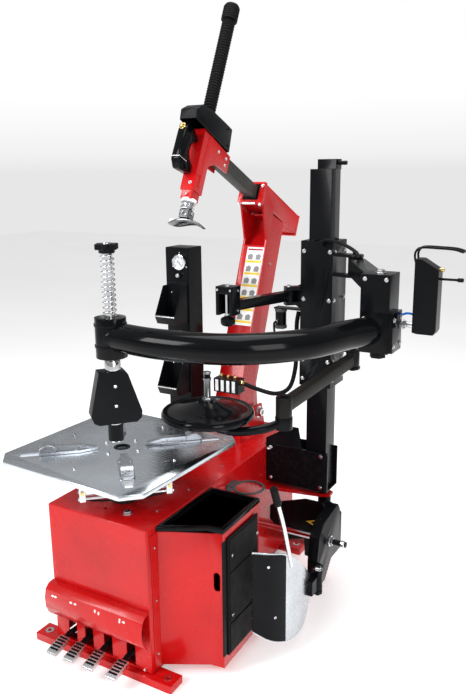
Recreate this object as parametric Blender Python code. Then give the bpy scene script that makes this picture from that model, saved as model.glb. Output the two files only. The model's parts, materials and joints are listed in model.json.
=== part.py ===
"""Tyre changer with a tilt-back column, helper arms and a bead breaker.

Frame: metres, +Z up. The origin is on the floor under the turntable's axis.
-Y is the front with the pedals, +X is the bead breaker's side.
The column is drawn in its own upright frame and leans back at rest.
"""
import math

import bmesh
import bpy
from mathutils import Matrix, Vector

# ---------------------------------------------------------------- driving dimensions
GAP = 0.0003                 # clearance between pieces that rest on each other
SHEET = 0.004                # cabinet sheet thickness

CABINET_HALF_WIDTH = 0.209
CABINET_FRONT = -0.157
CABINET_REAR = 0.930
CABINET_BASE = 0.0283
CABINET_TOP = 0.552

FOOT_HEIGHT = 0.028
FOOT_HALF_LENGTH = 0.296
FOOT_FRONT = -0.176

TABLE_TOP = 0.742
TABLE_THICKNESS = 0.016
TABLE_HALF_SIDE = 0.300
TABLE_CORNER_CUT = 0.052
TABLE_TURN = math.radians(-3.0)
SLOT_WIDTH = 0.026
SLOT_INNER = 0.105
SLOT_OUTER = 0.335
JAW_LENGTH = 0.195
JAW_INNER = 0.078
JAW_WIDTH = 0.048
JAW_HEIGHT = 0.034
CYLINDER_OFFSET = 0.128      # clamping cylinders' distance from the turntable's axis
CYLINDER_LENGTH = 0.300
CYLINDER_SIDE = 0.072
CYLINDER_HEIGHT = 0.664

PIVOT = Vector((0.0, 0.848, 0.624))      # column hinge
LEAN = math.radians(21.5)                # the column leans back by this much at rest
COLUMN_HALF_WIDTH = 0.057
COLUMN_FRONT = -0.162
COLUMN_BACK = -0.030
COLUMN_HEAD = 0.845
COLUMN_WALL = 0.006

TOOL_TILT = math.radians(3.5)            # the sleeve, arm and head lean this much more than the column
TOOL_CENTRE = Vector((0.0, -0.110, 0.883))
SLEEVE_HALF_WIDTH = 0.0565
SLEEVE_FRONT = -0.262
SLEEVE_BACK = 0.112
SLEEVE_LOW = 0.853
SLEEVE_HIGH = 0.938
SLEEVE_WALL = 0.008
ARM_SIDE = 0.050
ARM_HEIGHT = 0.897
ARM_FRONT = -0.664
ARM_BACK = 0.050
ARM_WALL = 0.005
SHAFT_Y = -0.696
SHAFT_RADIUS = 0.019
HEAD_FRONT = -0.728
HEAD_HALF_WIDTH = 0.028
HEAD_LOW = 0.709
HEAD_HIGH = 0.945
HOOD_HALF_WIDTH = 0.038
HOOD_TOP = 1.024

POST_X = 0.4255
POST_Y = 0.7175
POST_HALF = 0.0425
POST_LOW = 0.4093
POST_HIGH = 1.690
CARRIAGE_HALF_X = 0.064
CARRIAGE_HALF_Y = 0.0675
CARRIAGE_LOW = 0.842
CARRIAGE_HIGH = 1.398

PRESS_ROOT = Vector((0.575, 0.655, 1.315))
PRESS_ELBOW = Vector((0.812, 0.222, 1.315))
PRESS_ROD = Vector((0.157, -0.216, 1.190))
PRESS_TUBE_RADIUS = 0.0425
DISC_ROOT = Vector((0.575, 0.655, 0.970))
DISC_ELBOW = Vector((0.520, 0.186, 0.915))
DISC_AXIS = Vector((0.283, 0.103, 0.880))
DISC_RADIUS = 0.154
ROLLER_ROOT = Vector((0.318, 0.640, 1.190))
ROLLER_END = Vector((0.222, 0.345, 1.190))

CONTROL_LEFT = 0.905

BREAKER_PIVOT = Vector((0.450, 0.715, 0.270))
BREAKER_ROD_Y = 0.545
BREAKER_ROD_Z = 0.270
BLADE_HINGE = Vector((0.560, 0.400, 0.190))
WEB_FRONT = 0.640                        # front face of the breaker arm's broad web
WEB_FACE = ((0.240, 0.245), (0.240, 0.305), (0.285, 0.330), (0.395, 0.366), (0.470, 0.366), (0.484, 0.345),
            (0.484, 0.125), (0.400, 0.120), (0.396, 0.195), (0.330, 0.175))

TOWER_LEFT = -0.190
TOWER_RIGHT = -0.082
TOWER_FRONT = 0.560
TOWER_BACK = 0.660
TOWER_TOP = 1.360
GAUGE_X = -0.122
GAUGE_Z = 1.303
GAUGE_RADIUS = 0.026

BELT_Y = 0.030
GEARBOX_PULLEY_Z = 0.385
GEARBOX_PULLEY_RADIUS = 0.050
MOTOR_Z = 0.165
MOTOR_PULLEY_RADIUS = 0.027

PEDAL_X = (-0.132, -0.058, 0.026, 0.124)
PEDAL_PIVOT = Vector((0.0, -0.060, 0.075))

RED = ((0.60, 0.012, 0.014), 0.32, 0.0)
BLACK = ((0.012, 0.013, 0.016), 0.38, 0.0)
GUN_GREY = ((0.10, 0.10, 0.10), 0.42, 0.6)
STEEL = ((0.62, 0.64, 0.67), 0.28, 1.0)
CHROME = ((0.80, 0.80, 0.82), 0.10, 1.0)
ALUMINIUM = ((0.70, 0.71, 0.73), 0.35, 1.0)
CAST_IRON = ((0.09, 0.10, 0.11), 0.60, 0.7)
RUBBER = ((0.018, 0.018, 0.019), 0.75, 0.0)
PLASTIC = ((0.016, 0.016, 0.018), 0.45, 0.0)
BRASS = ((0.70, 0.50, 0.18), 0.28, 1.0)
DIAL = ((0.85, 0.86, 0.86), 0.25, 0.2)


# ---------------------------------------------------------------- drawing tools
def clear_scene():
    for item in list(bpy.data.objects):
        bpy.data.objects.remove(item, do_unlink=True)


def to_object(bm):
    """Turn a bmesh into an object with its faces pointing out."""
    bmesh.ops.recalc_face_normals(bm, faces=bm.faces)
    mesh = bpy.data.meshes.new("piece")
    bm.to_mesh(mesh)
    bm.free()
    item = bpy.data.objects.new("piece", mesh)
    bpy.context.scene.collection.objects.link(item)
    return item


def prism(outline, axis, low, high):
    """Extrude a closed outline along X, Y or Z."""
    bm = bmesh.new()
    loops = []
    for level in (low, high):
        ring = []
        for first, second in outline:
            place = {"X": (level, first, second), "Y": (first, level, second), "Z": (first, second,
                                                                                     level)}[axis]
            ring.append(bm.verts.new(place))
        loops.append(ring)
    bm.faces.new(loops[0])
    bm.faces.new(list(reversed(loops[1])))
    count = len(outline)
    for index in range(count):
        after = (index + 1) % count
        bm.faces.new((loops[0][index], loops[1][index], loops[1][after], loops[0][after]))
    return to_object(bm)


def block(low, high):
    outline = ((low[0], low[1]), (high[0], low[1]), (high[0], high[1]), (low[0], high[1]))
    return prism(outline, "Z", low[2], high[2])


def turned(profile, centre=(0.0, 0.0, 0.0), axis="Z", sides=24):
    """Revolve a closed (radius, height) outline. A radius of 0 lies on the axis."""
    bm = bmesh.new()
    rings = []
    for radius, height in profile:
        if radius == 0.0:
            rings.append([bm.verts.new((0.0, 0.0, height))])
            continue
        ring = []
        for step in range(sides):
            angle = 2.0 * math.pi * step / sides
            ring.append(bm.verts.new((radius * math.cos(angle), radius * math.sin(angle), height)))
        rings.append(ring)
    count = len(rings)
    for index in range(count):
        low, high = rings[index], rings[(index + 1) % count]
        if len(low) == 1 and len(high) == 1:
            continue
        for step in range(sides):
            after = (step + 1) % sides
            if len(low) == 1:
                bm.faces.new((low[0], high[step], high[after]))
            elif len(high) == 1:
                bm.faces.new((low[step], low[after], high[0]))
            else:
                bm.faces.new((low[step], low[after], high[after], high[step]))
    item = to_object(bm)
    turn = {"Z": Matrix.Identity(4), "X": Matrix.Rotation(math.pi / 2, 4, "Y"),
            "Y": Matrix.Rotation(-math.pi / 2, 4, "X")}[axis]
    item.data.transform(Matrix.Translation(Vector(centre)) @ turn)
    return item


def rod(start, end, radius, sides=16):
    """A solid cylinder between two points."""
    start, end = Vector(start), Vector(end)
    length = (end - start).length
    item = turned(((0.0, 0.0), (radius, 0.0), (radius, length), (0.0, length)), sides=sides)
    item.data.transform(Matrix.Translation(start) @ (end - start).to_track_quat("Z",
                                                                                "Y").to_matrix().to_4x4())
    return item


def beam(start, end, width, height):
    """A rectangular bar between two points, its height measured upwards."""
    start, end = Vector(start), Vector(end)
    along = (end - start).normalized()
    side = along.cross(Vector((0.0, 0.0, 1.0))).normalized() * width / 2
    rise = side.cross(along).normalized() * height / 2
    bm = bmesh.new()
    rings = []
    for point in (start, end):
        rings.append([bm.verts.new(point + a * side + b * rise) for a,
                      b in ((1, 1), (-1, 1), (-1, -1), (1, -1))])
    bm.faces.new(rings[0])
    bm.faces.new(list(reversed(rings[1])))
    for index in range(4):
        after = (index + 1) % 4
        bm.faces.new((rings[0][index], rings[1][index], rings[1][after], rings[0][after]))
    return to_object(bm)


def pipe(points, radius, sides=10, radii=None):
    """Sweep a circle along points, with flat ends. radii may give one radius for each point."""
    points = [Vector(point) for point in points]
    radii = radii or [radius] * len(points)
    bm = bmesh.new()
    tangents = []
    for index in range(len(points)):
        before = points[max(index - 1, 0)]
        after = points[min(index + 1, len(points) - 1)]
        tangents.append((after - before).normalized())
    helper = Vector((0.0, 0.0, 1.0)) if abs(tangents[0].z) < 0.9 else Vector((0.0, 1.0, 0.0))
    normal = (helper - helper.dot(tangents[0]) * tangents[0]).normalized()
    rings = []
    for point, tangent, size in zip(points, tangents, radii):
        normal = (normal - normal.dot(tangent) * tangent).normalized()
        binormal = tangent.cross(normal)
        ring = []
        for step in range(sides):
            angle = 2.0 * math.pi * step / sides
            ring.append(bm.verts.new(point + size * (math.cos(angle) * normal + math.sin(angle) * binormal)))
        rings.append(ring)
    bm.faces.new(rings[0])
    bm.faces.new(list(reversed(rings[-1])))
    for low, high in zip(rings[:-1], rings[1:]):
        for step in range(sides):
            after = (step + 1) % sides
            bm.faces.new((low[step], high[step], high[after], low[after]))
    return to_object(bm)


def smooth_route(points, steps):
    """Points of a Catmull-Rom curve through the given points."""
    points = [Vector(point) for point in points]
    padded = [2 * points[0] - points[1]] + points + [2 * points[-1] - points[-2]]
    route = []
    for index in range(1, len(padded) - 2):
        a, b, c, d = padded[index - 1:index + 3]
        for step in range(steps):
            t = step / steps
            route.append(0.5 * (2 * b + (c - a) * t + (2 * a - 5 * b + 4 * c - d) * t ** 2
                                + (3 * b - a - 3 * c + d) * t ** 3))
    return route + [points[-1]]


def arc(centre, radius, start, end, steps):
    """Points on a circle, with the angles in degrees."""
    points = []
    for step in range(steps + 1):
        angle = math.radians(start + (end - start) * step / steps)
        points.append((centre[0] + radius * math.cos(angle), centre[1] + radius * math.sin(angle)))
    return points


def combine(target, others, operation):
    for other in others:
        modifier = target.modifiers.new("Boolean", "BOOLEAN")
        modifier.operation = operation
        modifier.solver = "EXACT"
        modifier.object = other
        bpy.context.view_layer.update()
        solid = bpy.data.meshes.new_from_object(target.evaluated_get(bpy.context.evaluated_depsgraph_get()))
        target.modifiers.clear()
        target.data = solid
        bpy.data.objects.remove(other, do_unlink=True)
    return target


def join(target, *others):
    return combine(target, others, "UNION")


def cut(target, *others):
    return combine(target, others, "DIFFERENCE")


def turn_z(item, angle, centre=(0.0, 0.0, 0.0)):
    centre = Vector(centre)
    item.data.transform(Matrix.Translation(centre) @ Matrix.Rotation(angle, 4,
                                                                     "Z") @ Matrix.Translation(-centre))
    return item


def name_piece(item, name, finish, frame=None, local=False):
    """Name a piece, give it its material and hang it on its joint's frame."""
    item.name = name
    item.data.name = name
    colour, roughness, metallic = finish
    material = bpy.data.materials.new(name)
    material.use_nodes = True
    shader = material.node_tree.nodes["Principled BSDF"]
    shader.inputs["Base Color"].default_value = (*colour, 1.0)
    shader.inputs["Roughness"].default_value = roughness
    shader.inputs["Metallic"].default_value = metallic
    item.data.materials.clear()
    item.data.materials.append(material)
    for face in item.data.polygons:
        face.material_index = 0
    item.data.shade_smooth()
    item.data.set_sharp_from_angle(angle=math.radians(35))
    if frame is not None:
        if not local:
            item.data.transform(frame["world"].inverted())
        item.parent = frame["empty"]
    return item


def joint_frame(name, place, rotation=None, parent=None):
    """An empty on a joint's axis. Its world matrix is kept beside it."""
    empty = bpy.data.objects.new(name, None)
    bpy.context.scene.collection.objects.link(empty)
    world = Matrix.Translation(Vector(place)) @ (rotation or Matrix.Identity(4))
    empty.matrix_world = world
    if parent is not None:
        empty.parent = parent["empty"]
        empty.matrix_basis = parent["world"].inverted() @ world
    return {"empty": empty, "world": world}


# ---------------------------------------------------------------- cabinet and what is fixed to it
def base_frame():
    """Floor plate with a foot across the front and one across the back, and the pedals' rod."""
    item = block((-0.190, -0.140, 0.0), (0.190, CABINET_REAR - 0.02, 0.006))
    for low, high in ((FOOT_FRONT, -0.108), (0.820, 0.900)):
        item = join(item, block((-FOOT_HALF_LENGTH, low, 0.0), (FOOT_HALF_LENGTH, high, FOOT_HEIGHT)))
        for side in (-1, 1):
            hole = rod((side * 0.262, (low + high) / 2, -0.01), (side * 0.262, (low + high) / 2, 0.05),
                       0.006, 12)
            item = cut(item, hole)
    for side in (-1, 1):
        item = join(item, block((side * 0.180 - 0.006, PEDAL_PIVOT.y - 0.014, 0.003),
                                (side * 0.180 + 0.006, PEDAL_PIVOT.y + 0.014, PEDAL_PIVOT.z + 0.014)))
    item = join(item, rod((-0.183, PEDAL_PIVOT.y, PEDAL_PIVOT.z), (0.183, PEDAL_PIVOT.y, PEDAL_PIVOT.z),
                          0.006, 12))
    return name_piece(item, "base_frame", RED)


def cabinet_shell():
    """Folded sheet cabinet, open underneath, with the yoke, the breaker's lugs and the valve stand."""
    half, front, rear = CABINET_HALF_WIDTH, CABINET_FRONT, CABINET_REAR
    item = block((-half, front, CABINET_BASE), (half, rear, CABINET_TOP))
    item = cut(item, block((-half + SHEET, front + SHEET, 0.0),
                           (half - SHEET, rear - SHEET, CABINET_TOP - SHEET)))
    for side in (-1, 1):
        cheek = prism(((0.770, 0.549), (0.770, 0.600), (0.815, 0.655), (0.880, 0.655), (0.905, 0.549)),
                      "X", side * 0.066, side * 0.078)
        item = join(item, cheek)
    for low in (0.150, 0.372):
        lug = prism(((half - 0.002, 0.640), (0.445, 0.680), (0.480, 0.700), (0.480, 0.732), (0.445, 0.752),
                     (half - 0.002, 0.790)), "Z", low, low + 0.012)
        item = join(item, lug)
        item = cut(item, rod((BREAKER_PIVOT.x, BREAKER_PIVOT.y, low - 0.01),
                             (BREAKER_PIVOT.x, BREAKER_PIVOT.y, low + 0.03), 0.0125, 12))
    item = join(item, block((0.078, 0.640, CABINET_TOP - 0.002), (0.102, 0.660, 0.780)))
    item = join(item, block((-0.004, 0.605, 0.772), (0.112, 0.665, 0.832)))
    item = cut(item, rod((0, 0, 0.50), (0, 0, 0.60), 0.046, 24))
    item = cut(item, rod((0, 0.719, 0.50), (0, 0.719, 0.60), 0.020, 16))
    item = cut(item, rod((0.19, BREAKER_ROD_Y, BREAKER_ROD_Z), (0.23, BREAKER_ROD_Y, BREAKER_ROD_Z),
                         0.022, 16))
    for side in (-1, 1):
        item = cut(item, rod((side * 0.05, PIVOT.y, PIVOT.z), (side * 0.09, PIVOT.y, PIVOT.z), 0.0155, 16))
    for place in PEDAL_X:
        item = cut(item, block((place - 0.017, front - 0.01, 0.046), (place + 0.017, front + 0.01, 0.122)))
    return name_piece(item, "cabinet_shell", RED)


def front_hood():
    """Rounded guard above the pedals, open underneath and at its ends."""
    outer = ((-0.1573, 0.264), (-0.182, 0.261), (-0.198, 0.246), (-0.205, 0.215), (-0.203, 0.178),
             (-0.192, 0.152), (-0.178, 0.137))
    inner = ((-0.175, 0.139), (-0.189, 0.154), (-0.200, 0.179), (-0.202, 0.214), (-0.1955, 0.244),
             (-0.181, 0.258), (-0.1573, 0.260))
    item = prism(outer + inner, "X", -CABINET_HALF_WIDTH, CABINET_HALF_WIDTH)
    return name_piece(item, "front_hood", RED)


SIDE_BOX = ((0.2093, -0.106), (0.357, -0.026), (0.407, -0.020), (0.402, 0.235), (0.2093, 0.232))


def inset_outline(outline, inset):
    """Move every edge of a convex counter-clockwise outline inwards."""
    moved = []
    count = len(outline)
    for index in range(count):
        before, here, after = (Vector(outline[(index + shift) % count]) for shift in (-1, 0, 1))
        edge_in, edge_out = (here - before).normalized(), (after - here).normalized()
        normal_in, normal_out = Vector((-edge_in.y, edge_in.x)), Vector((-edge_out.y, edge_out.x))
        bisector = (normal_in + normal_out).normalized()
        moved.append(here + bisector * inset / bisector.dot(normal_in))
    return [(point.x, point.y) for point in moved]


def side_box():
    """Storage box on the breaker's side, with a hand slot in its outer corner."""
    item = prism(SIDE_BOX, "Z", 0.035, 0.528)
    item = cut(item, prism(inset_outline(SIDE_BOX, SHEET), "Z", 0.035 + SHEET, 0.60))
    slot = prism([(x, z) for x, z in arc((0.3835, 0.375), 0.011, 0, 180, 6) + arc((0.3835, 0.330), 0.011,
                                                                                  180, 360, 6)],
                 "Y", -0.05, 0.0)
    return name_piece(cut(item, slot), "side_box", RED)


def tray_liner():
    """Plastic tray that sits in the top of the side box."""
    item = prism(inset_outline(SIDE_BOX, 0.0), "Z", 0.5283, 0.546)
    item = join(item, prism(inset_outline(SIDE_BOX, SHEET + 0.001), "Z", 0.470, 0.540))
    item = cut(item, prism(inset_outline(SIDE_BOX, SHEET + 0.005), "Z", 0.475, 0.60))
    return name_piece(item, "tray_liner", PLASTIC)


def bead_pad():
    """Ribbed rubber pad that the wheel leans on while its bead is broken."""
    item = block((0.4075, 0.000, 0.075), (0.4165, 0.205, 0.505))
    return name_piece(item, "bead_pad", RUBBER)


def bucket_ring():
    """Holder for the paste bucket, on a tab behind the side box."""
    item = turned(((0.050, 0.506), (0.060, 0.506), (0.060, 0.511), (0.050, 0.511)), (0.292, 0.365, 0.0),
                  "Z", 28)
    item = join(item, block((0.2093, 0.335, 0.5065), (0.236, 0.395, 0.5105)))
    item = join(item, block((0.2093, 0.335, 0.470), (0.2123, 0.395, 0.5105)))
    return name_piece(item, "bucket_ring", GUN_GREY)


def gauge_tower():
    """Upright box that carries the pressure gauge and the tool trays."""
    item = block((TOWER_LEFT, TOWER_FRONT, CABINET_TOP + GAP), (TOWER_RIGHT, TOWER_BACK, TOWER_TOP))
    item = cut(item, rod((GAUGE_X, TOWER_FRONT - 0.01, GAUGE_Z), (GAUGE_X, TOWER_FRONT + 0.03, GAUGE_Z),
                         GAUGE_RADIUS, 24))
    return name_piece(item, "gauge_tower", BLACK)


def pressure_gauge():
    """Round gauge let into the tower's face."""
    x, z, face = GAUGE_X, GAUGE_Z, TOWER_FRONT - GAP
    item = join(rod((x, face + 0.024, z), (x, face, z), GAUGE_RADIUS - 0.0005, 24),
                rod((x, face, z), (x, face - 0.010, z), 0.031, 24))
    return name_piece(item, "pressure_gauge", DIAL)


def tool_holder():
    """Two flared trays on one back strip, on the front of the tower."""
    left, right = TOWER_LEFT + 0.006, TOWER_RIGHT - 0.006
    face = TOWER_FRONT - GAP
    item = block((left, face - 0.003, 0.765), (right, face, 1.225))
    for foot in (0.770, 1.060):
        outer = ((face - 0.001, foot), (face - 0.080, foot + 0.004), (face - 0.096, foot + 0.036),
                 (face - 0.034, foot + 0.150), (face - 0.001, foot + 0.150))
        inner = ((face - 0.003, foot + 0.004), (face - 0.078, foot + 0.008), (face - 0.092, foot + 0.037),
                 (face - 0.092, foot + 0.170), (face - 0.003, foot + 0.170))
        item = join(item, cut(prism(outer, "X", left, right),
                              prism(inner, "X", left + 0.003, right - 0.003)))
    return name_piece(item, "tool_holder", PLASTIC)


def gearbox():
    """Worm gearbox bolted under the cabinet's top."""
    item = block((-0.085, -0.085, 0.330), (0.085, 0.085, CABINET_TOP - SHEET - GAP))
    item = cut(item, rod((0, 0, 0.440), (0, 0, 0.60), 0.036, 24))
    item = join(item, rod((-0.112, BELT_Y, GEARBOX_PULLEY_Z), (-0.080, BELT_Y, GEARBOX_PULLEY_Z), 0.032,
                          20))
    item = cut(item, rod((-0.130, BELT_Y, GEARBOX_PULLEY_Z), (-0.095, BELT_Y, GEARBOX_PULLEY_Z), 0.0135,
                         12))
    return name_piece(item, "gearbox", CAST_IRON)


def drive_motor():
    """Motor hung under the gearbox by its foot."""
    item = rod((-0.105, BELT_Y, MOTOR_Z), (0.110, BELT_Y, MOTOR_Z), 0.066, 24)
    item = join(item, rod((0.105, BELT_Y, MOTOR_Z), (0.135, BELT_Y, MOTOR_Z), 0.052, 20))
    item = join(item, block((-0.070, -0.030, 0.200), (0.080, 0.090, 0.330 - GAP)))
    item = cut(item, rod((-0.120, BELT_Y, MOTOR_Z), (-0.090, BELT_Y, MOTOR_Z), 0.0125, 12))
    return name_piece(item, "drive_motor", CAST_IRON)


def pulley(name, height, radius, frame):
    """Flanged pulley with its shaft stub, which points at the machine's middle."""
    rim = radius + 0.005
    profile = ((0.0, 0.0), (rim, 0.0), (rim, 0.003), (radius, 0.005), (radius, 0.019), (rim, 0.021),
               (rim, 0.024),
               (0.010, 0.024), (0.010, 0.039), (0.0, 0.039))
    return name_piece(turned(profile, (-0.139, BELT_Y, height), "X", 18), name, STEEL, frame)


def drive_belt():
    """Belt around the two pulleys: two arcs joined by straight runs."""
    high, low, slack = GEARBOX_PULLEY_Z, MOTOR_Z, 0.0007
    big, small = GEARBOX_PULLEY_RADIUS + slack, MOTOR_PULLEY_RADIUS + slack
    lean = math.degrees(math.asin((big - small) / (high - low)))

    def loop(extra):
        upper = arc((BELT_Y, high), big + extra, -lean, 180 + lean, 12)
        lower = arc((BELT_Y, low), small + extra, 180 + lean, 360 - lean, 10)
        return upper + lower
    item = prism(loop(0.006), "X", -0.1330, -0.1210)
    item = cut(item, prism(loop(0.0), "X", -0.20, -0.10))
    return name_piece(item, "drive_belt", RUBBER)


def breaker_cylinder():
    """Large air cylinder across the cabinet, carried by a plate on the side wall."""
    inner_wall = CABINET_HALF_WIDTH - SHEET - GAP
    item = rod((-0.120, BREAKER_ROD_Y, BREAKER_ROD_Z), (0.165, BREAKER_ROD_Y, BREAKER_ROD_Z), 0.092, 28)
    item = join(item, block((0.150, BREAKER_ROD_Y - 0.10, BREAKER_ROD_Z - 0.10),
                            (inner_wall, BREAKER_ROD_Y + 0.10, BREAKER_ROD_Z + 0.10)))
    item = cut(item, rod((-0.100, BREAKER_ROD_Y, BREAKER_ROD_Z), (0.300, BREAKER_ROD_Y, BREAKER_ROD_Z),
                         0.0145, 16))
    return name_piece(item, "breaker_cylinder", ALUMINIUM)


def tilt_cylinder():
    """Upright air cylinder inside the cabinet, under the column."""
    item = rod((0, 0.719, 0.0063), (0, 0.719, 0.500), 0.040, 20)
    item = cut(item, rod((0, 0.719, 0.150), (0, 0.719, 0.60), 0.013, 12))
    return name_piece(item, "tilt_cylinder", ALUMINIUM)


def post_bracket():
    """Box bracket on the cabinet's side that holds the helper post."""
    inner, outer = CABINET_HALF_WIDTH + GAP, 0.480
    low, high = 0.4035, 0.569
    item = block((inner, 0.6645, low), (outer, 0.6705, high))
    item = join(item, block((inner, 0.7645, low), (outer, 0.7705, high)))
    item = join(item, block((inner, 0.6650, low), (outer - 0.001, 0.7700, low + 0.0055)))
    item = join(item, block((inner, 0.6650, low + 0.001), (inner + 0.006, 0.7700, high - 0.001)))
    item = join(item, block((inner, 0.6560, high - 0.005), (outer, 0.6700, high)))
    gusset = prism(((inner, 0.566), (0.370, 0.566), (0.352, 0.655), (0.315, 0.655), (inner, 0.590)), "Y",
                   0.6645, 0.6705)
    item = join(item, gusset)
    return name_piece(item, "post_bracket", BLACK)


def helper_post():
    """Square post with a stop block on the back of its top."""
    half, wall, shoulder = POST_HALF, 0.005, POST_HIGH - 0.035
    item = block((POST_X - half, POST_Y - half, POST_LOW), (POST_X + half, POST_Y + half, shoulder))
    item = join(item, block((POST_X - half + 0.014, POST_Y - 0.008, shoulder - 0.002),
                            (POST_X + half + 0.002, POST_Y + half + 0.002, POST_HIGH)))
    item = join(item, rod((POST_X + half, POST_Y + 0.016, POST_HIGH - 0.014),
                          (POST_X + half + 0.034, POST_Y + 0.016, POST_HIGH - 0.014), 0.0075, 12))
    item = cut(item, block((POST_X - half + wall, POST_Y - half + wall, POST_LOW - 0.01),
                           (POST_X + half - wall, POST_Y + half - wall, shoulder - 0.012)))
    return name_piece(item, "helper_post", BLACK)


def air_hose():
    """Hose from the column's valve box to the lifting carriage."""
    points = ((0.115, 0.640, 0.815), (0.180, 0.640, 0.800), (0.262, 0.642, 0.792), (0.318, 0.650, 0.822),
              (0.338, 0.662, 0.900), (0.336, 0.676, 1.000), (0.330, 0.690, 1.075), (0.333, 0.700, 1.120))
    return name_piece(pipe(smooth_route(points, 4), 0.0085, 8), "air_hose", RUBBER)


# ---------------------------------------------------------------- pedals
def pedal(index, place):
    frame = joint_frame(f"pedal_axis_{index}", (place, PEDAL_PIVOT.y, PEDAL_PIVOT.z))
    side = ((-0.062, 0.067), (-0.062, 0.083), (-0.180, 0.088), (-0.222, 0.072), (-0.262, 0.062),
            (-0.262, 0.055), (-0.218, 0.060), (-0.172, 0.074))
    item = prism(side, "X", place - 0.008, place + 0.008)
    item = join(item, rod((place - 0.010, PEDAL_PIVOT.y, PEDAL_PIVOT.z),
                          (place + 0.010, PEDAL_PIVOT.y, PEDAL_PIVOT.z),
                          0.014, 16))
    item = cut(item, rod((place - 0.020, PEDAL_PIVOT.y, PEDAL_PIVOT.z),
                         (place + 0.020, PEDAL_PIVOT.y, PEDAL_PIVOT.z),
                         0.0064, 12))
    tread = prism(((-0.196, 0.0835), (-0.225, 0.0765), (-0.268, 0.0665), (-0.272, 0.0555), (-0.266, 0.0530),
                   (-0.222, 0.0620), (-0.196, 0.0700)), "X", place - 0.021, place + 0.021)
    return name_piece(join(item, tread), f"pedal_{index}", STEEL, frame)


# ---------------------------------------------------------------- turntable
def turntable_hub(frame):
    """Shaft out of the gearbox, flange and spider that carries the table."""
    profile = ((0.0, 0.450), (0.034, 0.450), (0.034, 0.5555), (0.043, 0.5555), (0.043, 0.572),
               (0.034, 0.576),
               (0.034, 0.618), (0.075, 0.624), (0.075, TABLE_TOP - TABLE_THICKNESS - GAP),
               (0.0, TABLE_TOP - TABLE_THICKNESS - GAP))
    return name_piece(turned(profile, sides=22), "turntable_hub", CAST_IRON, frame, local=True)


def turntable_plate(frame):
    """Square plate with cut corners and a slot along each diagonal."""
    side, trim = TABLE_HALF_SIDE, TABLE_CORNER_CUT
    outline = []
    for corner in range(4):
        turn = Matrix.Rotation(corner * math.pi / 2, 2)
        for point in ((side, side - trim), (side - trim, side)):
            outline.append(tuple(turn @ Vector(point)))
    low = TABLE_TOP - TABLE_THICKNESS
    item = prism(outline, "Z", low, TABLE_TOP)
    for corner in range(4):
        slot = block((SLOT_INNER, -SLOT_WIDTH / 2, low - 0.01),
                     (SLOT_OUTER, SLOT_WIDTH / 2, TABLE_TOP + 0.01))
        item = cut(item, turn_z(slot, math.pi / 4 + corner * math.pi / 2))
    item = cut(item, rod((0, 0, low - 0.01), (0, 0, TABLE_TOP + 0.01), 0.020, 20))
    return name_piece(item, "turntable_plate", STEEL, frame, local=True)


def clamp_cylinder(index, frame):
    """Air cylinder under the table, between two square end plates, with lugs up to the plate."""
    angle = math.radians(-45.0) + index * math.pi
    half, side = CYLINDER_LENGTH / 2, CYLINDER_SIDE / 2
    item = rod((CYLINDER_OFFSET, -half + 0.02, CYLINDER_HEIGHT),
               (CYLINDER_OFFSET, half - 0.02, CYLINDER_HEIGHT), 0.031, 20)
    for end in (-1, 1):
        low, high = sorted((end * (half - 0.021), end * (half - 0.001)))
        item = join(item, block((CYLINDER_OFFSET - side, low, CYLINDER_HEIGHT - side),
                                (CYLINDER_OFFSET + side, high, CYLINDER_HEIGHT + side)))
        item = join(item, block((CYLINDER_OFFSET - 0.014, low + 0.002, CYLINDER_HEIGHT),
                                (CYLINDER_OFFSET + 0.014, high - 0.002, TABLE_TOP - TABLE_THICKNESS - GAP)))
    return name_piece(turn_z(item, angle), f"clamp_cylinder_{index + 1}", ALUMINIUM, frame, local=True)


def jaw(index, table):
    """Clamping jaw: a bar on the table with a stepped claw, and a stem through the slot."""
    angle = math.pi / 4 + index * math.pi / 2
    middle = JAW_INNER + JAW_LENGTH / 2
    place = table["world"] @ Vector((middle * math.cos(angle), middle * math.sin(angle), TABLE_TOP))
    frame = joint_frame(f"jaw_axis_{index + 1}", place, Matrix.Rotation(angle + TABLE_TURN, 4, "Z"), table)
    half, width, low = JAW_LENGTH / 2, JAW_WIDTH / 2, 0.0004
    bar = prism(((-half, low), (half, low), (half, JAW_HEIGHT * 0.62), (half - 0.022, JAW_HEIGHT),
                 (half - 0.050, JAW_HEIGHT), (half - 0.062, JAW_HEIGHT * 0.72), (-half + 0.060,
                                                                                 JAW_HEIGHT * 0.72),
                 (-half, JAW_HEIGHT * 0.30)), "Y", -width, width)
    tip = prism(((-half - 0.01, width + 0.01), (-half - 0.01, 0.006), (-half + 0.055, width + 0.01)), "Z",
                -0.01, 0.06)
    other_tip = prism(((-half - 0.01, -width - 0.01), (-half - 0.01, -0.006),
                       (-half + 0.055, -width - 0.01)),
                      "Z", -0.01, 0.06)
    bar = cut(bar, tip, other_tip)
    stem = block((-0.045, -SLOT_WIDTH / 2 + 0.0012, -TABLE_THICKNESS - 0.004),
                 (-0.005, SLOT_WIDTH / 2 - 0.0012, 0.010))
    return name_piece(join(bar, stem), f"jaw_{index + 1}", STEEL, frame, local=True)


# ---------------------------------------------------------------- column, arm and tool head
def tilt_tool(item):
    """Turn a piece drawn square to the tool shaft into the column's own frame."""
    item.data.transform(Matrix.Translation(TOOL_CENTRE) @ Matrix.Rotation(-TOOL_TILT, 4, "X")
                        @ Matrix.Translation(-TOOL_CENTRE))
    return item


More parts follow.
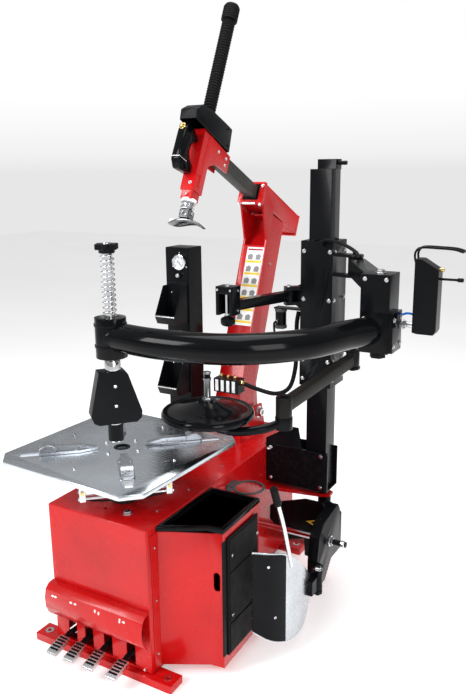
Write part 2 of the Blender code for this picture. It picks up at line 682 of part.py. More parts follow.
def arm_sleeve():
    """Box sleeve that guides the arm, with a flange at its front and a plate at its back."""
    half = SLEEVE_HALF_WIDTH
    item = block((-half, SLEEVE_FRONT, SLEEVE_LOW), (half, SLEEVE_BACK, SLEEVE_HIGH))
    item = join(item, block((-half - 0.0025, SLEEVE_FRONT - 0.004, SLEEVE_LOW - 0.008),
                            (half + 0.0025, SLEEVE_FRONT + 0.012, SLEEVE_HIGH + 0.004)))
    item = join(item, block((-half - 0.002, SLEEVE_BACK - 0.008, SLEEVE_LOW - 0.010),
                            (half + 0.002, SLEEVE_BACK + 0.002, SLEEVE_HIGH + 0.002)))
    return item


def sleeve_bore():
    """The space inside the sleeve, with a closer fit around the arm at its front."""
    half, wall, grip = SLEEVE_HALF_WIDTH, SLEEVE_WALL, ARM_SIDE / 2 + 0.0015
    item = block((-half + wall, SLEEVE_FRONT + 0.012, SLEEVE_LOW + wall),
                 (half - wall, SLEEVE_BACK - 0.008, SLEEVE_HIGH - wall))
    return join(item, block((-grip, SLEEVE_FRONT - 0.02, ARM_HEIGHT - grip),
                            (grip, SLEEVE_FRONT + 0.02, ARM_HEIGHT + grip)))


def tilt_column(frame):
    """Square column with its hinge boss and the sleeve that guides the arm."""
    half, wall, front = COLUMN_HALF_WIDTH, COLUMN_WALL, COLUMN_FRONT
    side = ((front, -0.028), (-0.060, -0.028), (0.0, -0.030), (0.030, -0.006), (0.030, 0.014),
            (COLUMN_BACK, 0.120), (COLUMN_BACK, COLUMN_HEAD), (front, COLUMN_HEAD))
    item = prism(side, "X", -half, half)
    for edge in (-1, 1):
        low, high = sorted((edge * (half - 0.008), edge * half))
        gusset = prism(((front + 0.020, 0.730), (front, 0.730), (-0.250, 0.868), (front + 0.020, 0.868)),
                       "X", low, high)
        item = join(item, gusset)
    mouth = prism(((front - 0.01, 0.700), (front + 0.030, 0.715), (front + 0.060, 0.780),
                   (front + 0.060, 0.838),
                   (front - 0.01, 0.838)), "X", -half + 0.010, half - 0.010)
    item = cut(item, mouth, rod((-0.07, 0, 0), (0.07, 0, 0), 0.0155, 16))
    item = cut(item, block((-half + wall, front + wall, 0.125), (half - wall, COLUMN_BACK - wall, 0.690)))
    item = cut(item, rod((0, COLUMN_BACK - 0.020, 0.200), (0, COLUMN_BACK + 0.020, 0.200), 0.012, 16))
    item = join(item, tilt_tool(arm_sleeve()))
    item = cut(item, tilt_tool(sleeve_bore()))
    return name_piece(item, "tilt_column", RED, frame, local=True)


def column_pin():
    """Hinge pin through the yoke, with a nut at each end."""
    half, nut = 0.092, 0.0785
    item = rod(PIVOT - Vector((half, 0, 0)), PIVOT + Vector((half, 0, 0)), 0.0150, 20)
    for side in (-1, 1):
        item = join(item, rod(PIVOT + Vector((side * nut, 0, 0)), PIVOT + Vector((side * half, 0, 0)),
                              0.021, 6))
    return name_piece(item, "column_pin", STEEL)


def tilt_rod():
    frame = joint_frame("tilt_rod_axis", (0, 0.719, 0.400))
    item = rod((0, 0.719, 0.300), (0, 0.719, 0.622), 0.0115, 16)
    item = join(item, rod((0, 0.719, 0.610), (0, 0.719, 0.634), 0.016, 16))
    return name_piece(item, "tilt_rod", CHROME, frame)


def tool_arm(frame):
    """Square arm that slides in the column's sleeve."""
    half, wall = ARM_SIDE / 2, ARM_WALL
    item = block((-half, ARM_FRONT, ARM_HEIGHT - half), (half, ARM_BACK, ARM_HEIGHT + half))
    item = cut(item, block((-half + wall, ARM_FRONT + wall, ARM_HEIGHT - half + wall),
                           (half - wall, ARM_BACK + 0.01, ARM_HEIGHT + half - wall)))
    return name_piece(item, "tool_arm", GUN_GREY, frame, local=True)


def head_body(frame):
    """Welded head that guides the tool shaft, with a cheek on each side of the arm's end."""
    half, front, back = HEAD_HALF_WIDTH, HEAD_FRONT, ARM_FRONT - GAP
    item = block((-half, front, HEAD_LOW), (half, back, HEAD_HIGH))
    item = join(item, block((-0.0225, front + 0.006, 0.676), (0.0225, back - 0.006, HEAD_LOW + 0.002)))
    item = join(item, rod((0, SHAFT_Y, 0.670), (0, SHAFT_Y, 0.680), 0.0275, 24))
    for side in (-1, 1):
        low, high = sorted((side * (ARM_SIDE / 2 + GAP), side * 0.0310))
        cheek = prism(((-0.700, 0.730), (-0.690, 0.730), (-0.664, 0.826), (-0.620, 0.852), (-0.534, 0.858),
                       (-0.534, 0.926), (-0.575, 0.930), (-0.700, 0.936)), "X", low, high)
        item = join(item, cheek)
    item = cut(item, rod((0, SHAFT_Y, 0.60), (0, SHAFT_Y, 1.10), 0.0200, 20))
    return name_piece(item, "head_body", RED, frame, local=True)


def head_hood(frame):
    """Moulded cover over the head, open underneath."""
    half, wall = HOOD_HALF_WIDTH, 0.003
    side = ((-0.812, 0.938), (-0.818, 0.978), (-0.785, 1.010), (-0.700, 1.021), (-0.620, HOOD_TOP),
            (-0.567, HOOD_TOP), (-0.555, 0.932))
    inner = ((-0.809, 0.920), (-0.815, 0.9765), (-0.7835, 1.0072), (-0.700, 1.018),
             (-0.620, HOOD_TOP - wall),
             (-0.5697, HOOD_TOP - wall), (-0.5565, 0.920))
    item = prism(side, "X", -half, half)
    item = cut(item, prism(inner, "X", -half + wall, half - wall))
    floor = block((-half + 0.001, HEAD_FRONT + 0.004, HEAD_HIGH + GAP),
                  (half - 0.001, -0.600, HEAD_HIGH + 0.006))
    item = join(item, floor)
    item = cut(item, rod((0, SHAFT_Y, 0.90), (0, SHAFT_Y, 1.10), 0.0225, 20))
    return name_piece(item, "head_hood", PLASTIC, frame, local=True)


def head_handle(frame):
    """Grip on the front of the head that carries the locking button."""
    face = HEAD_FRONT - 0.0005
    side = ((face, 0.905), (-0.760, 0.925), (-0.806, 0.925), (-0.818, 0.900), (-0.822, 0.785),
            (-0.800, 0.757),
            (face, 0.766), (face, 0.800), (-0.752, 0.812), (-0.766, 0.840), (-0.757, 0.880), (face, 0.887))
    item = prism(side, "X", -0.030, 0.006)
    item = cut(item, rod((-0.012, -0.850, 0.911), (-0.012, -0.782, 0.911), 0.0095, 16))
    return name_piece(item, "head_handle", PLASTIC, frame, local=True)


def lock_button(frame):
    item = rod((-0.012, -0.790, 0.911), (-0.012, -0.827, 0.911), 0.0090, 16)
    return name_piece(item, "lock_button", BRASS, frame, local=True)


def tool_shaft(frame):
    """Hexagonal shaft through the head, with the collar under it and the stop cap on its top."""
    item = rod((0, SHAFT_Y, 0.642), (0, SHAFT_Y, 1.450), SHAFT_RADIUS, 6)
    item = join(item, rod((0, SHAFT_Y, 0.640), (0, SHAFT_Y, 0.6695), 0.026, 20))
    item = join(item, rod((0, SHAFT_Y, 1.403), (0, SHAFT_Y, 1.468), 0.031, 20))
    return name_piece(item, "tool_shaft", CHROME, frame, local=True)


def shaft_bellows(frame):
    """Folded rubber boot over the upper shaft."""
    low, high, folds = HOOD_TOP + 0.0005, 1.4025, 10
    pitch = (high - low) / folds
    profile = [(0.0196, low)]
    for fold in range(folds):
        start = low + fold * pitch
        profile += [(0.0212, start + 0.001), (0.0256, start + pitch * 0.5)]
    profile += [(0.0212, high - 0.001), (0.0196, high)]
    return name_piece(turned(profile, (0, SHAFT_Y, 0), "Z", 12), "shaft_bellows", RUBBER, frame, local=True)


def mount_head(frame):
    """Mount and demount head: a clamp block over a curved foot with a raised nose."""
    item = block((-0.020, SHAFT_Y - 0.018, 0.606), (0.020, SHAFT_Y + 0.026, 0.6397))
    foot = prism(((-0.078, 0.592), (-0.068, 0.586), (-0.030, 0.586), (0.030, 0.594), (0.060, 0.586),
                  (0.074, 0.577),
                  (0.080, 0.580), (0.066, 0.598), (0.030, 0.612), (-0.030, 0.612), (-0.056, 0.597)),
                 "Y", SHAFT_Y - 0.020, SHAFT_Y + 0.040)
    return name_piece(join(item, foot), "mount_head", CHROME, frame, local=True)


# ---------------------------------------------------------------- helper arms on the post
def lift_carriage(frame):
    """Carriage around the post, with hinge lugs for the three arms."""
    inner = POST_HALF + 0.002
    item = block((POST_X - CARRIAGE_HALF_X, POST_Y - CARRIAGE_HALF_Y, CARRIAGE_LOW),
                 (POST_X + CARRIAGE_HALF_X, POST_Y + CARRIAGE_HALF_Y, CARRIAGE_HIGH))
    item = cut(item, block((POST_X - inner, POST_Y - inner, CARRIAGE_LOW - 0.01),
                           (POST_X + inner, POST_Y + inner, CARRIAGE_HIGH + 0.01)))
    right = POST_X + CARRIAGE_HALF_X - 0.006
    for root, half in ((PRESS_ROOT, 0.0315), (DISC_ROOT, 0.0285)):
        for level in (-half - 0.010, half):
            lug = prism(((right, root.y + 0.030), (right, root.y - 0.004), (root.x - 0.020, root.y - 0.026),
                         (root.x + 0.014, root.y - 0.026), (root.x + 0.026, root.y - 0.010),
                         (root.x + 0.026, root.y + 0.012), (root.x + 0.010, root.y + 0.030)),
                        "Z", root.z + level, root.z + level + 0.010)
            item = join(item, lug)
        item = join(item, rod((root.x, root.y, root.z - half - 0.016),
                              (root.x, root.y, root.z + half + 0.016), 0.0110, 12))
    left = POST_X - CARRIAGE_HALF_X + 0.004
    boss = prism(((left, 0.690), (left, 0.655), (ROLLER_ROOT.x, ROLLER_ROOT.y - 0.024),
                  (ROLLER_ROOT.x - 0.022, ROLLER_ROOT.y), (ROLLER_ROOT.x,
                                                           ROLLER_ROOT.y + 0.024), (left - 0.004, 0.700)),
                 "Z", ROLLER_ROOT.z - 0.035, ROLLER_ROOT.z - 0.022)
    upper = prism(((left, 0.690), (left, 0.655), (ROLLER_ROOT.x, ROLLER_ROOT.y - 0.024),
                   (ROLLER_ROOT.x - 0.022, ROLLER_ROOT.y), (ROLLER_ROOT.x,
                                                            ROLLER_ROOT.y + 0.024), (left - 0.004, 0.700)),
                  "Z", ROLLER_ROOT.z + 0.022, ROLLER_ROOT.z + 0.035)
    pin = rod((ROLLER_ROOT.x, ROLLER_ROOT.y, ROLLER_ROOT.z - 0.030),
              (ROLLER_ROOT.x, ROLLER_ROOT.y, ROLLER_ROOT.z + 0.030),
              0.0090, 12)
    item = join(item, boss, upper, pin)
    return name_piece(item, "lift_carriage", BLACK, frame)


def press_link(frame):
    """Square link from the carriage to the press arm's hinge housing."""
    bore = cut(rod(PRESS_ROOT - Vector((0, 0, 0.031)), PRESS_ROOT + Vector((0, 0, 0.031)), 0.027, 20),
               rod(PRESS_ROOT - Vector((0, 0, 0.05)), PRESS_ROOT + Vector((0, 0, 0.05)), 0.0124, 12))
    along = (PRESS_ELBOW - PRESS_ROOT).normalized()
    bar = beam(PRESS_ROOT + along * 0.024, PRESS_ELBOW, 0.058, 0.058)
    low, high = PRESS_ELBOW.z - 0.066, PRESS_ELBOW.z + 0.044
    housing = block((PRESS_ELBOW.x - 0.044, PRESS_ELBOW.y - 0.044, low),
                    (PRESS_ELBOW.x + 0.044, PRESS_ELBOW.y + 0.044, high))
    pin = rod((PRESS_ELBOW.x, PRESS_ELBOW.y, 1.118), (PRESS_ELBOW.x, PRESS_ELBOW.y, low + 0.01), 0.015, 16)
    nut = rod((PRESS_ELBOW.x, PRESS_ELBOW.y, 1.105), (PRESS_ELBOW.x, PRESS_ELBOW.y, 1.126), 0.024, 6)
    return name_piece(join(bore, bar, housing, pin, nut), "press_link", BLACK, frame)


PRESS_CURVE = (PRESS_ROD, (0.346, -0.236, 1.190), (0.546, -0.196, 1.190), (0.690, -0.062, 1.190),
               (0.757, 0.110, 1.190), (0.798, 0.196, 1.190))


def press_arm(frame):
    """Curved tube from the hinge block to the press rod's sleeve, with the control box's bracket."""
    top = PRESS_ELBOW.z - 0.066 - GAP
    item = block((PRESS_ELBOW.x - 0.044, PRESS_ELBOW.y - 0.044, 1.1265),
                 (PRESS_ELBOW.x + 0.044, PRESS_ELBOW.y + 0.044, top))
    route = smooth_route(PRESS_CURVE, 4)
    item = join(item, pipe(route, PRESS_TUBE_RADIUS, 14))
    item = join(item, rod((PRESS_ROD.x, PRESS_ROD.y, 1.128), (PRESS_ROD.x, PRESS_ROD.y, 1.246), 0.046, 20))
    item = cut(item, pipe(route[:-1], PRESS_TUBE_RADIUS - 0.006, 10))
    item = cut(item, rod((PRESS_ROD.x, PRESS_ROD.y, 1.10), (PRESS_ROD.x, PRESS_ROD.y, 1.30), 0.0165, 16))
    item = cut(item, rod((PRESS_ELBOW.x, PRESS_ELBOW.y, 1.10), (PRESS_ELBOW.x, PRESS_ELBOW.y, 1.30),
                         0.0155, 16))
    face = PRESS_ELBOW.x + 0.043
    item = join(item, block((face, PRESS_ELBOW.y - 0.042, 1.130),
                            (face + 0.013, PRESS_ELBOW.y + 0.043, 1.2480)))
    item = join(item, rod((face + 0.008, 0.256, 1.205), (CONTROL_LEFT - GAP, 0.256, 1.205), 0.0085, 12))
    return name_piece(item, "press_arm", BLACK, frame)


def press_rod(frame):
    """Rod through the sleeve; it carries the knob above and the pad and roller below."""
    x, y = PRESS_ROD.x, PRESS_ROD.y
    item = rod((x, y, 0.870), (x, y, 1.4395), 0.0140, 16)
    item = join(item, rod((x, y, 1.088), (x, y, 1.1200), 0.0235, 20))
    item = join(item, rod((x, y, 0.868), (x, y, 0.928), 0.0215, 20))
    return name_piece(item, "press_rod", CHROME, frame)


def press_spring(frame):
    """Spring wound on the rod, drawn as a ribbed sleeve."""
    low, high, turns = 1.2465, 1.4280, 8
    pitch = (high - low) / turns
    profile = [(0.0150, low)]
    for turn in range(turns):
        start = low + turn * pitch
        profile += [(0.0172, start + 0.0005), (0.0212, start + pitch * 0.5)]
    profile += [(0.0172, high - 0.0005), (0.0150, high)]
    return name_piece(turned(profile, (PRESS_ROD.x, PRESS_ROD.y, 0), "Z", 10), "press_spring", STEEL, frame)


def press_knob(frame):
    """Six-lobed knob on the rod's top."""
    lobes, outline = 6, []
    for step in range(36):
        angle = 2 * math.pi * step / 36
        radius = 0.0310 + 0.0045 * math.cos(lobes * angle)
        outline.append((PRESS_ROD.x + radius * math.cos(angle), PRESS_ROD.y + radius * math.sin(angle)))
    item = prism(outline, "Z", 1.4300, 1.4580)
    item = cut(item, rod((PRESS_ROD.x, PRESS_ROD.y, 1.40), (PRESS_ROD.x, PRESS_ROD.y, 1.4398), 0.0145, 16))
    return name_piece(item, "press_knob", PLASTIC, frame)


def press_pad(frame):
    """Trapezoid pad that pushes the tyre's bead down, turned towards the front right."""
    top, bottom = 1.0875, 0.9285
    outline = ((-0.046, top), (-0.074, bottom + 0.030), (-0.066, bottom + 0.008), (-0.050, bottom),
               (0.062, bottom), (0.076, bottom + 0.012), (0.078, bottom + 0.032), (0.040,
                                                                                   top - 0.010), (0.030,
                                                                                                  top))
    item = prism(outline, "Y", -0.026, 0.026)
    item.data.transform(Matrix.Translation((PRESS_ROD.x, PRESS_ROD.y,
                                            0)) @ Matrix.Rotation(math.radians(50), 4, "Z"))
    item = cut(item, rod((PRESS_ROD.x, PRESS_ROD.y, 0.90), (PRESS_ROD.x, PRESS_ROD.y, 1.12), 0.0143, 16))
    return name_piece(item, "press_pad", RUBBER, frame)


def control_box(frame):
    """Hand control for the helper arms, with wire hooks for the levers."""
    item = prism(((CONTROL_LEFT, 1.185), (0.920, 1.182), (0.968, 1.182), (0.975, 1.195), (0.975, 1.372),
                  (0.925, 1.402), (CONTROL_LEFT, 1.402)), "Y", 0.240, 0.290)
    for y in (0.248, 0.282):
        route = ((0.912, y, 1.375), (0.903, y, 1.405), (0.906, y, 1.424), (0.922, y, 1.434),
                 (0.970, y, 1.434),
                 (1.012, y, 1.432), (1.036, y, 1.426))
        item = join(item, pipe(smooth_route(route, 2), 0.0035, 6))
    item = join(item, rod((0.970, 0.265, 1.345), (1.040, 0.265, 1.345), 0.0038, 8))
    return name_piece(item, "control_box", BLACK, frame)


def disc_link(frame):
    """Bar from the carriage down to the lower elbow."""
    bore = cut(rod(DISC_ROOT - Vector((0, 0, 0.028)), DISC_ROOT + Vector((0, 0, 0.028)), 0.025, 20),
               rod(DISC_ROOT - Vector((0, 0, 0.05)), DISC_ROOT + Vector((0, 0, 0.05)), 0.0124, 12))
    along = (DISC_ELBOW - DISC_ROOT).normalized()
    bar = beam(DISC_ROOT + along * 0.022, DISC_ELBOW - along * 0.012, 0.036, 0.040)
    elbow = rod((DISC_ELBOW.x, DISC_ELBOW.y, 0.8785), (DISC_ELBOW.x, DISC_ELBOW.y, 0.945), 0.027, 20)
    pin = rod((DISC_ELBOW.x, DISC_ELBOW.y, 0.838), (DISC_ELBOW.x, DISC_ELBOW.y, 0.885), 0.012, 16)
    return name_piece(join(bore, bar, elbow, pin), "disc_link", GUN_GREY, frame)


def disc_arm(frame):
    """Curved arm from the elbow to under the disc, with the disc's stem."""
    x, y = DISC_ELBOW.x, DISC_ELBOW.y
    item = rod((x, y, 0.8385), (x, y, 0.8785 - GAP), 0.029, 20)
    route = ((x - 0.010, y - 0.010, 0.8560), (0.470, 0.118, 0.8480), (0.400, 0.085, 0.8400),
             (0.330, 0.090, 0.8380),
             (DISC_AXIS.x, DISC_AXIS.y, 0.8380))
    item = join(item, pipe(smooth_route(route, 4), 0.015, 10, None))
    item = join(item, rod((DISC_AXIS.x, DISC_AXIS.y, 0.826), (DISC_AXIS.x, DISC_AXIS.y, 0.8595), 0.030, 20))
    item = join(item, rod((DISC_AXIS.x, DISC_AXIS.y, 0.850), (DISC_AXIS.x, DISC_AXIS.y, 1.020), 0.0105, 14))
    item = cut(item, rod((x, y, 0.80), (x, y, 0.90), 0.0125, 16))
    return name_piece(item, "disc_arm", CAST_IRON, frame)


def lift_disc(frame):
    """Cone disc that turns on the stem and lifts the lower bead."""
    rim = DISC_RADIUS
    profile = ((0.0112, 0.8605), (0.060, 0.8620), (rim - 0.020, 0.8640), (rim - 0.003, 0.8680),
               (rim, 0.8760),
               (rim - 0.003, 0.8860), (rim - 0.012, 0.8905), (rim - 0.024, 0.8885), (0.070,
                                                                                     0.9060), (0.034,
                                                                                               0.9160),
               (0.033, 0.9210), (0.0112, 0.9210))
    item = turned(profile, (DISC_AXIS.x, DISC_AXIS.y, 0), "Z", 28)
    return name_piece(item, "lift_disc", PLASTIC, frame)


def roller_arm(frame):
    """Bar to the bead roller's head."""
    bore = cut(rod(ROLLER_ROOT - Vector((0, 0, 0.0215)), ROLLER_ROOT + Vector((0, 0, 0.0215)), 0.020, 16),
               rod(ROLLER_ROOT - Vector((0, 0, 0.05)), ROLLER_ROOT + Vector((0, 0, 0.05)), 0.0103, 12))
    along = (ROLLER_END - ROLLER_ROOT).normalized()
    bar = beam(ROLLER_ROOT + along * 0.017, ROLLER_END, 0.034, 0.036)
    x, y = ROLLER_END.x, ROLLER_END.y
    head = block((x - 0.034, y - 0.026, 1.160), (x + 0.034, y + 0.030, 1.262))
    head = cut(head, block((x - 0.021, y - 0.040, 1.150), (x + 0.021, y + 0.012, 1.235)))
    return name_piece(join(bore, bar, head), "roller_arm", BLACK, frame)


def bead_roller(frame):
    """Roller under the head, on its own pin."""
    x, y = ROLLER_END.x, ROLLER_END.y
    profile = ((0.0, 1.118), (0.014, 1.118), (0.026, 1.126), (0.026, 1.148), (0.012, 1.156), (0.0, 1.156))
    return name_piece(turned(profile, (x, y, 0), "Z", 20), "bead_roller", PLASTIC, frame)


# ---------------------------------------------------------------- bead breaker
def breaker_arm(frame):
    """Swinging arm, with its pivot pin, from the cabinet's lugs to the blade's hinge."""
    x, y = BREAKER_PIVOT.x, BREAKER_PIVOT.y
    sleeve = rod((x, y, 0.1623), (x, y, 0.3717), 0.026, 20)
    item = join(sleeve, rod((x, y, 0.140), (x, y, 0.392), 0.0120, 16))
    item = join(item, rod((x, y, 0.3845), (x, y, 0.3950), 0.0190, 6))
    web = prism(WEB_FACE, "Y", WEB_FRONT, WEB_FRONT + 0.014)
    bridge = block((0.440, WEB_FRONT + 0.002, 0.185), (0.468, y - 0.010, 0.355))
    reach = prism(((0.446, 0.736), (0.496, 0.716), (0.5465, 0.660), (0.5465, 0.560), (0.507, 0.560),
                   (0.497, 0.628), (0.470, 0.668), (0.446, 0.690)), "Z", 0.190, 0.340)
    plate = prism(((0.640, 0.220), (0.640, 0.365), (0.620, 0.392), (0.480, 0.372), (0.440, 0.330),
                   (0.425, 0.250), (0.425, 0.128), (0.500, 0.128), (0.560, 0.190)), "X", 0.507, 0.547)
    item = join(item, web, bridge, reach, plate)
    hinge_x, hinge_y = BLADE_HINGE.x, BLADE_HINGE.y
    for low in (0.1330, 0.2160):
        lug = prism(((hinge_x - 0.050, 0.440), (hinge_x - 0.018, hinge_y),
                     (hinge_x - 0.010, hinge_y - 0.017), (hinge_x + 0.010, hinge_y - 0.017),
                     (hinge_x + 0.018, hinge_y), (hinge_x + 0.006, 0.432),
                     (hinge_x - 0.020, 0.448)), "Z", low, low + 0.014)
        item = join(item, lug)
    item = join(item, rod((hinge_x, hinge_y, 0.125), (hinge_x, hinge_y, 0.2380), 0.0080, 12))
    stub = rod((0.543, BREAKER_ROD_Y, BREAKER_ROD_Z), (0.612, BREAKER_ROD_Y, BREAKER_ROD_Z), 0.0110, 12)
    item = join(item, stub)
    return name_piece(item, "breaker_arm", BLACK, frame)


def breaker_rod(frame):
    """Cylinder rod, out through the side wall to just short of the arm."""
    y, z = BREAKER_ROD_Y, BREAKER_ROD_Z
    item = rod((0.020, y, z), (0.500, y, z), 0.0125, 16)
    item = join(item, rod((0.482, y, z), (0.504, y, z), 0.0190, 16))
    return name_piece(item, "breaker_rod", CHROME, frame)


BLADE_PLAN = ((0.455, 0.085), (0.505, 0.120), (0.535, 0.175), (0.549, 0.240), (0.550, 0.305),
              (0.540, 0.375))
BLADE_LOW = (0.125, 0.085, 0.058, 0.048, 0.060, 0.110)
BLADE_HIGH = (0.425, 0.418, 0.398, 0.350, 0.285, 0.215)


def breaker_blade(frame):
    """Curved shovel with the knuckle of its hinge and its adjusting lever."""
    bm = bmesh.new()
    columns = []
    count = len(BLADE_PLAN)
    for index in range(count):
        before = Vector(BLADE_PLAN[max(index - 1, 0)])
        after = Vector(BLADE_PLAN[min(index + 1, count - 1)])
        along = (after - before).normalized()
        inward = Vector((-along.y, along.x)) * 0.006
        here = Vector(BLADE_PLAN[index])
        low, high = BLADE_LOW[index], BLADE_HIGH[index]
        ring = [(here.x, here.y, low), (here.x, here.y, high),
                (here.x + inward.x, here.y + inward.y, high), (here.x + inward.x, here.y + inward.y, low)]
        columns.append([bm.verts.new(point) for point in ring])
    bm.faces.new(columns[0])
    bm.faces.new(list(reversed(columns[-1])))
    for first, second in zip(columns[:-1], columns[1:]):
        for corner in range(4):
            after = (corner + 1) % 4
            bm.faces.new((first[corner], second[corner], second[after], first[after]))
    item = to_object(bm)
    x, y = BLADE_HINGE.x, BLADE_HINGE.y
    knuckle = join(rod((x, y, 0.1475), (x, y, 0.2155), 0.0170, 16),
                   block((0.5375, 0.335, 0.152), (0.5680, 0.3980, 0.211)))
    knuckle = cut(knuckle, rod((x, y, 0.10), (x, y, 0.25), 0.0084, 12))
    lever = pipe(((0.5400, 0.205, 0.340), (0.5400, 0.193, 0.382), (0.5370, 0.158, 0.500),
                  (0.5330, 0.120, 0.600)), 0.008, 12)
    return name_piece(join(item, knuckle, lever), "breaker_blade", STEEL, frame)


def lever_grip(frame):
    """Rubber grip on the blade's lever."""
    start, end = Vector((0.5330, 0.120, 0.600)), Vector((0.5302, 0.0930, 0.6710))
    along = (end - start).normalized()
    item = rod(start + along * GAP * 2, end, 0.0135, 16)
    return name_piece(item, "lever_grip", RUBBER, frame)


# ---------------------------------------------------------------- the whole machine
def build():
    clear_scene()
    base_frame()
    cabinet_shell()
    front_hood()
    side_box()
    tray_liner()
    bead_pad()
    bucket_ring()
    gauge_tower()
    pressure_gauge()
    tool_holder()
    gearbox()
    drive_motor()
    drive_belt()
    breaker_cylinder()
    tilt_cylinder()
    post_bracket()
    helper_post()
    air_hose()
    for index, place in enumerate(PEDAL_X, start=1):
        pedal(index, place)
    pulley("gearbox_pulley", GEARBOX_PULLEY_Z, GEARBOX_PULLEY_RADIUS,
           joint_frame("gearbox_pulley_axis", (-0.125, BELT_Y, GEARBOX_PULLEY_Z)))
    pulley("motor_pulley", MOTOR_Z, MOTOR_PULLEY_RADIUS,
           joint_frame("motor_pulley_axis", (-0.125, BELT_Y, MOTOR_Z)))

    table = joint_frame("turntable_axis", (0, 0, 0), Matrix.Rotation(TABLE_TURN, 4, "Z"))
    turntable_hub(table)
    turntable_plate(table)
    for index in range(2):
        clamp_cylinder(index, table)
    for index in range(4):
        jaw(index, table)

    lean = Matrix.Rotation(-LEAN, 4, "X")
    column = joint_frame("column_axis", PIVOT, lean)
    tilt_column(column)
    column_pin()
    tilt_rod()
    tool_lean = Matrix.Rotation(-LEAN - TOOL_TILT, 4, "X")
    tool_place = PIVOT + lean @ TOOL_CENTRE - tool_lean @ TOOL_CENTRE
    arm = joint_frame("arm_axis", tool_place, tool_lean, column)
    tool_arm(arm)
    head_body(arm)
    head_hood(arm)
    head_handle(arm)
    lock_button(joint_frame("lock_button_axis", tool_place, tool_lean, arm))
    shaft = joint_frame("tool_shaft_axis", tool_place, tool_lean, arm)
    tool_shaft(shaft)
    shaft_bellows(shaft)
    mount_head(shaft)

    carriage = joint_frame("carriage_axis", (POST_X, POST_Y, CARRIAGE_LOW))
    lift_carriage(carriage)
    upper = joint_frame("press_link_axis", PRESS_ROOT, None, carriage)
    press_link(upper)
    outer = joint_frame("press_arm_axis", PRESS_ELBOW, None, upper)
    press_arm(outer)
    control_box(outer)
    slider = joint_frame("press_rod_axis", PRESS_ROD, None, outer)
    press_rod(slider)
    press_spring(slider)
    press_knob(slider)
    press_pad(slider)
    lower = joint_frame("disc_link_axis", DISC_ROOT, None, carriage)
    disc_link(lower)
    swing = joint_frame("disc_arm_axis", DISC_ELBOW, None, lower)
    disc_arm(swing)
    lift_disc(joint_frame("lift_disc_axis", DISC_AXIS, None, swing))
    left = joint_frame("roller_arm_axis", ROLLER_ROOT, None, carriage)
    roller_arm(left)
    bead_roller(joint_frame("bead_roller_axis", ROLLER_END, None, left))

    breaker = joint_frame("breaker_axis", BREAKER_PIVOT)
    breaker_arm(breaker)
    breaker_rod(joint_frame("breaker_rod_axis", (0.300, BREAKER_ROD_Y, BREAKER_ROD_Z)))
    blade = joint_frame("blade_axis", BLADE_HINGE, None, breaker)
    breaker_blade(blade)
    lever_grip(blade)


build()
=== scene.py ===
"""Looks of the tyre changer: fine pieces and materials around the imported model.

Metres, +Z up, -Y the front with the pedals, +X the bead breaker's side.
"""
import json
import math

import bmesh
import bpy
from mathutils import Matrix, Vector

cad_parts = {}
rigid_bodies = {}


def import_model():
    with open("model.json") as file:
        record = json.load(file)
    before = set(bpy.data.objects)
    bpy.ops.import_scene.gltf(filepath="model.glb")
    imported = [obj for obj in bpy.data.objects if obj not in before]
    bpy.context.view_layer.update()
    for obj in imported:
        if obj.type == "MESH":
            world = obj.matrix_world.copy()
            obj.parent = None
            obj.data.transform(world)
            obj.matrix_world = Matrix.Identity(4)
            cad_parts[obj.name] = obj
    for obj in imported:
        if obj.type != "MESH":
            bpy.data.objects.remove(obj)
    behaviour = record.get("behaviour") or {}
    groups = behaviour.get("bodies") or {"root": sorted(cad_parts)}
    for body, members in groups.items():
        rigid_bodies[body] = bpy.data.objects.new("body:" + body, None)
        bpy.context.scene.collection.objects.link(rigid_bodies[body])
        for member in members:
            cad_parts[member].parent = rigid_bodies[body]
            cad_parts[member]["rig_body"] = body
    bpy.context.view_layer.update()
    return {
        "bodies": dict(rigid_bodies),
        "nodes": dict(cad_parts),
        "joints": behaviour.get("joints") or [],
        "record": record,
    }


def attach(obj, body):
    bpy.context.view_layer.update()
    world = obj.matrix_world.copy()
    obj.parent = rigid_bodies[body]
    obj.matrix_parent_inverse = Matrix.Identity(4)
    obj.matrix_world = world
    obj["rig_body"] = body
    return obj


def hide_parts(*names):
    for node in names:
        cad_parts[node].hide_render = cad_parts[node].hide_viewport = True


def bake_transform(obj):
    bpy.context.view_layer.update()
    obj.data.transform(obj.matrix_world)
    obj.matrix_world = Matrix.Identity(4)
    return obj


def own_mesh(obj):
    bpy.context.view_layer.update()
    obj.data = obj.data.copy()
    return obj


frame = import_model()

JOINTS = {joint["name"]: joint for joint in frame["joints"]}
Z_UP = Vector((0.0, 0.0, 1.0))
X_RIGHT = Vector((1.0, 0.0, 0.0))


TOOL_TILT = math.radians(3.5)
TOOL_CENTRE = (0.0, -0.11, 0.883)


# ---------------------------------------------------------------- places read from the frame
def joint_place(name):
    """Where a joint of the frame stands, in metres."""
    return Vector(JOINTS[name]["pos_m"])


def joint_axis(name):
    """The direction of a joint of the frame."""
    return Vector(JOINTS[name]["axis"]).normalized()


def leaning_frame():
    """The frame of the arm and the tool shaft: X as the machine's, -Y along the arm, Z up the shaft."""
    back = -joint_axis("arm_reach")
    up = X_RIGHT.cross(back)
    matrix = Matrix((X_RIGHT, back, up)).transposed().to_4x4()
    centre = Vector(TOOL_CENTRE)
    column = Matrix.Translation(joint_place("column_tilt")) @ matrix @ Matrix.Rotation(TOOL_TILT, 4, "X")
    return column @ Matrix.Translation(centre) @ Matrix.Rotation(-TOOL_TILT, 4,
        "X") @ Matrix.Translation(-centre)


def column_frame():
    """The column's own upright frame. The arm and its sleeve lean a little more than the column."""
    centre = Vector(TOOL_CENTRE)
    return TOOL @ Matrix.Translation(centre) @ Matrix.Rotation(TOOL_TILT, 4,
        "X") @ Matrix.Translation(-centre)


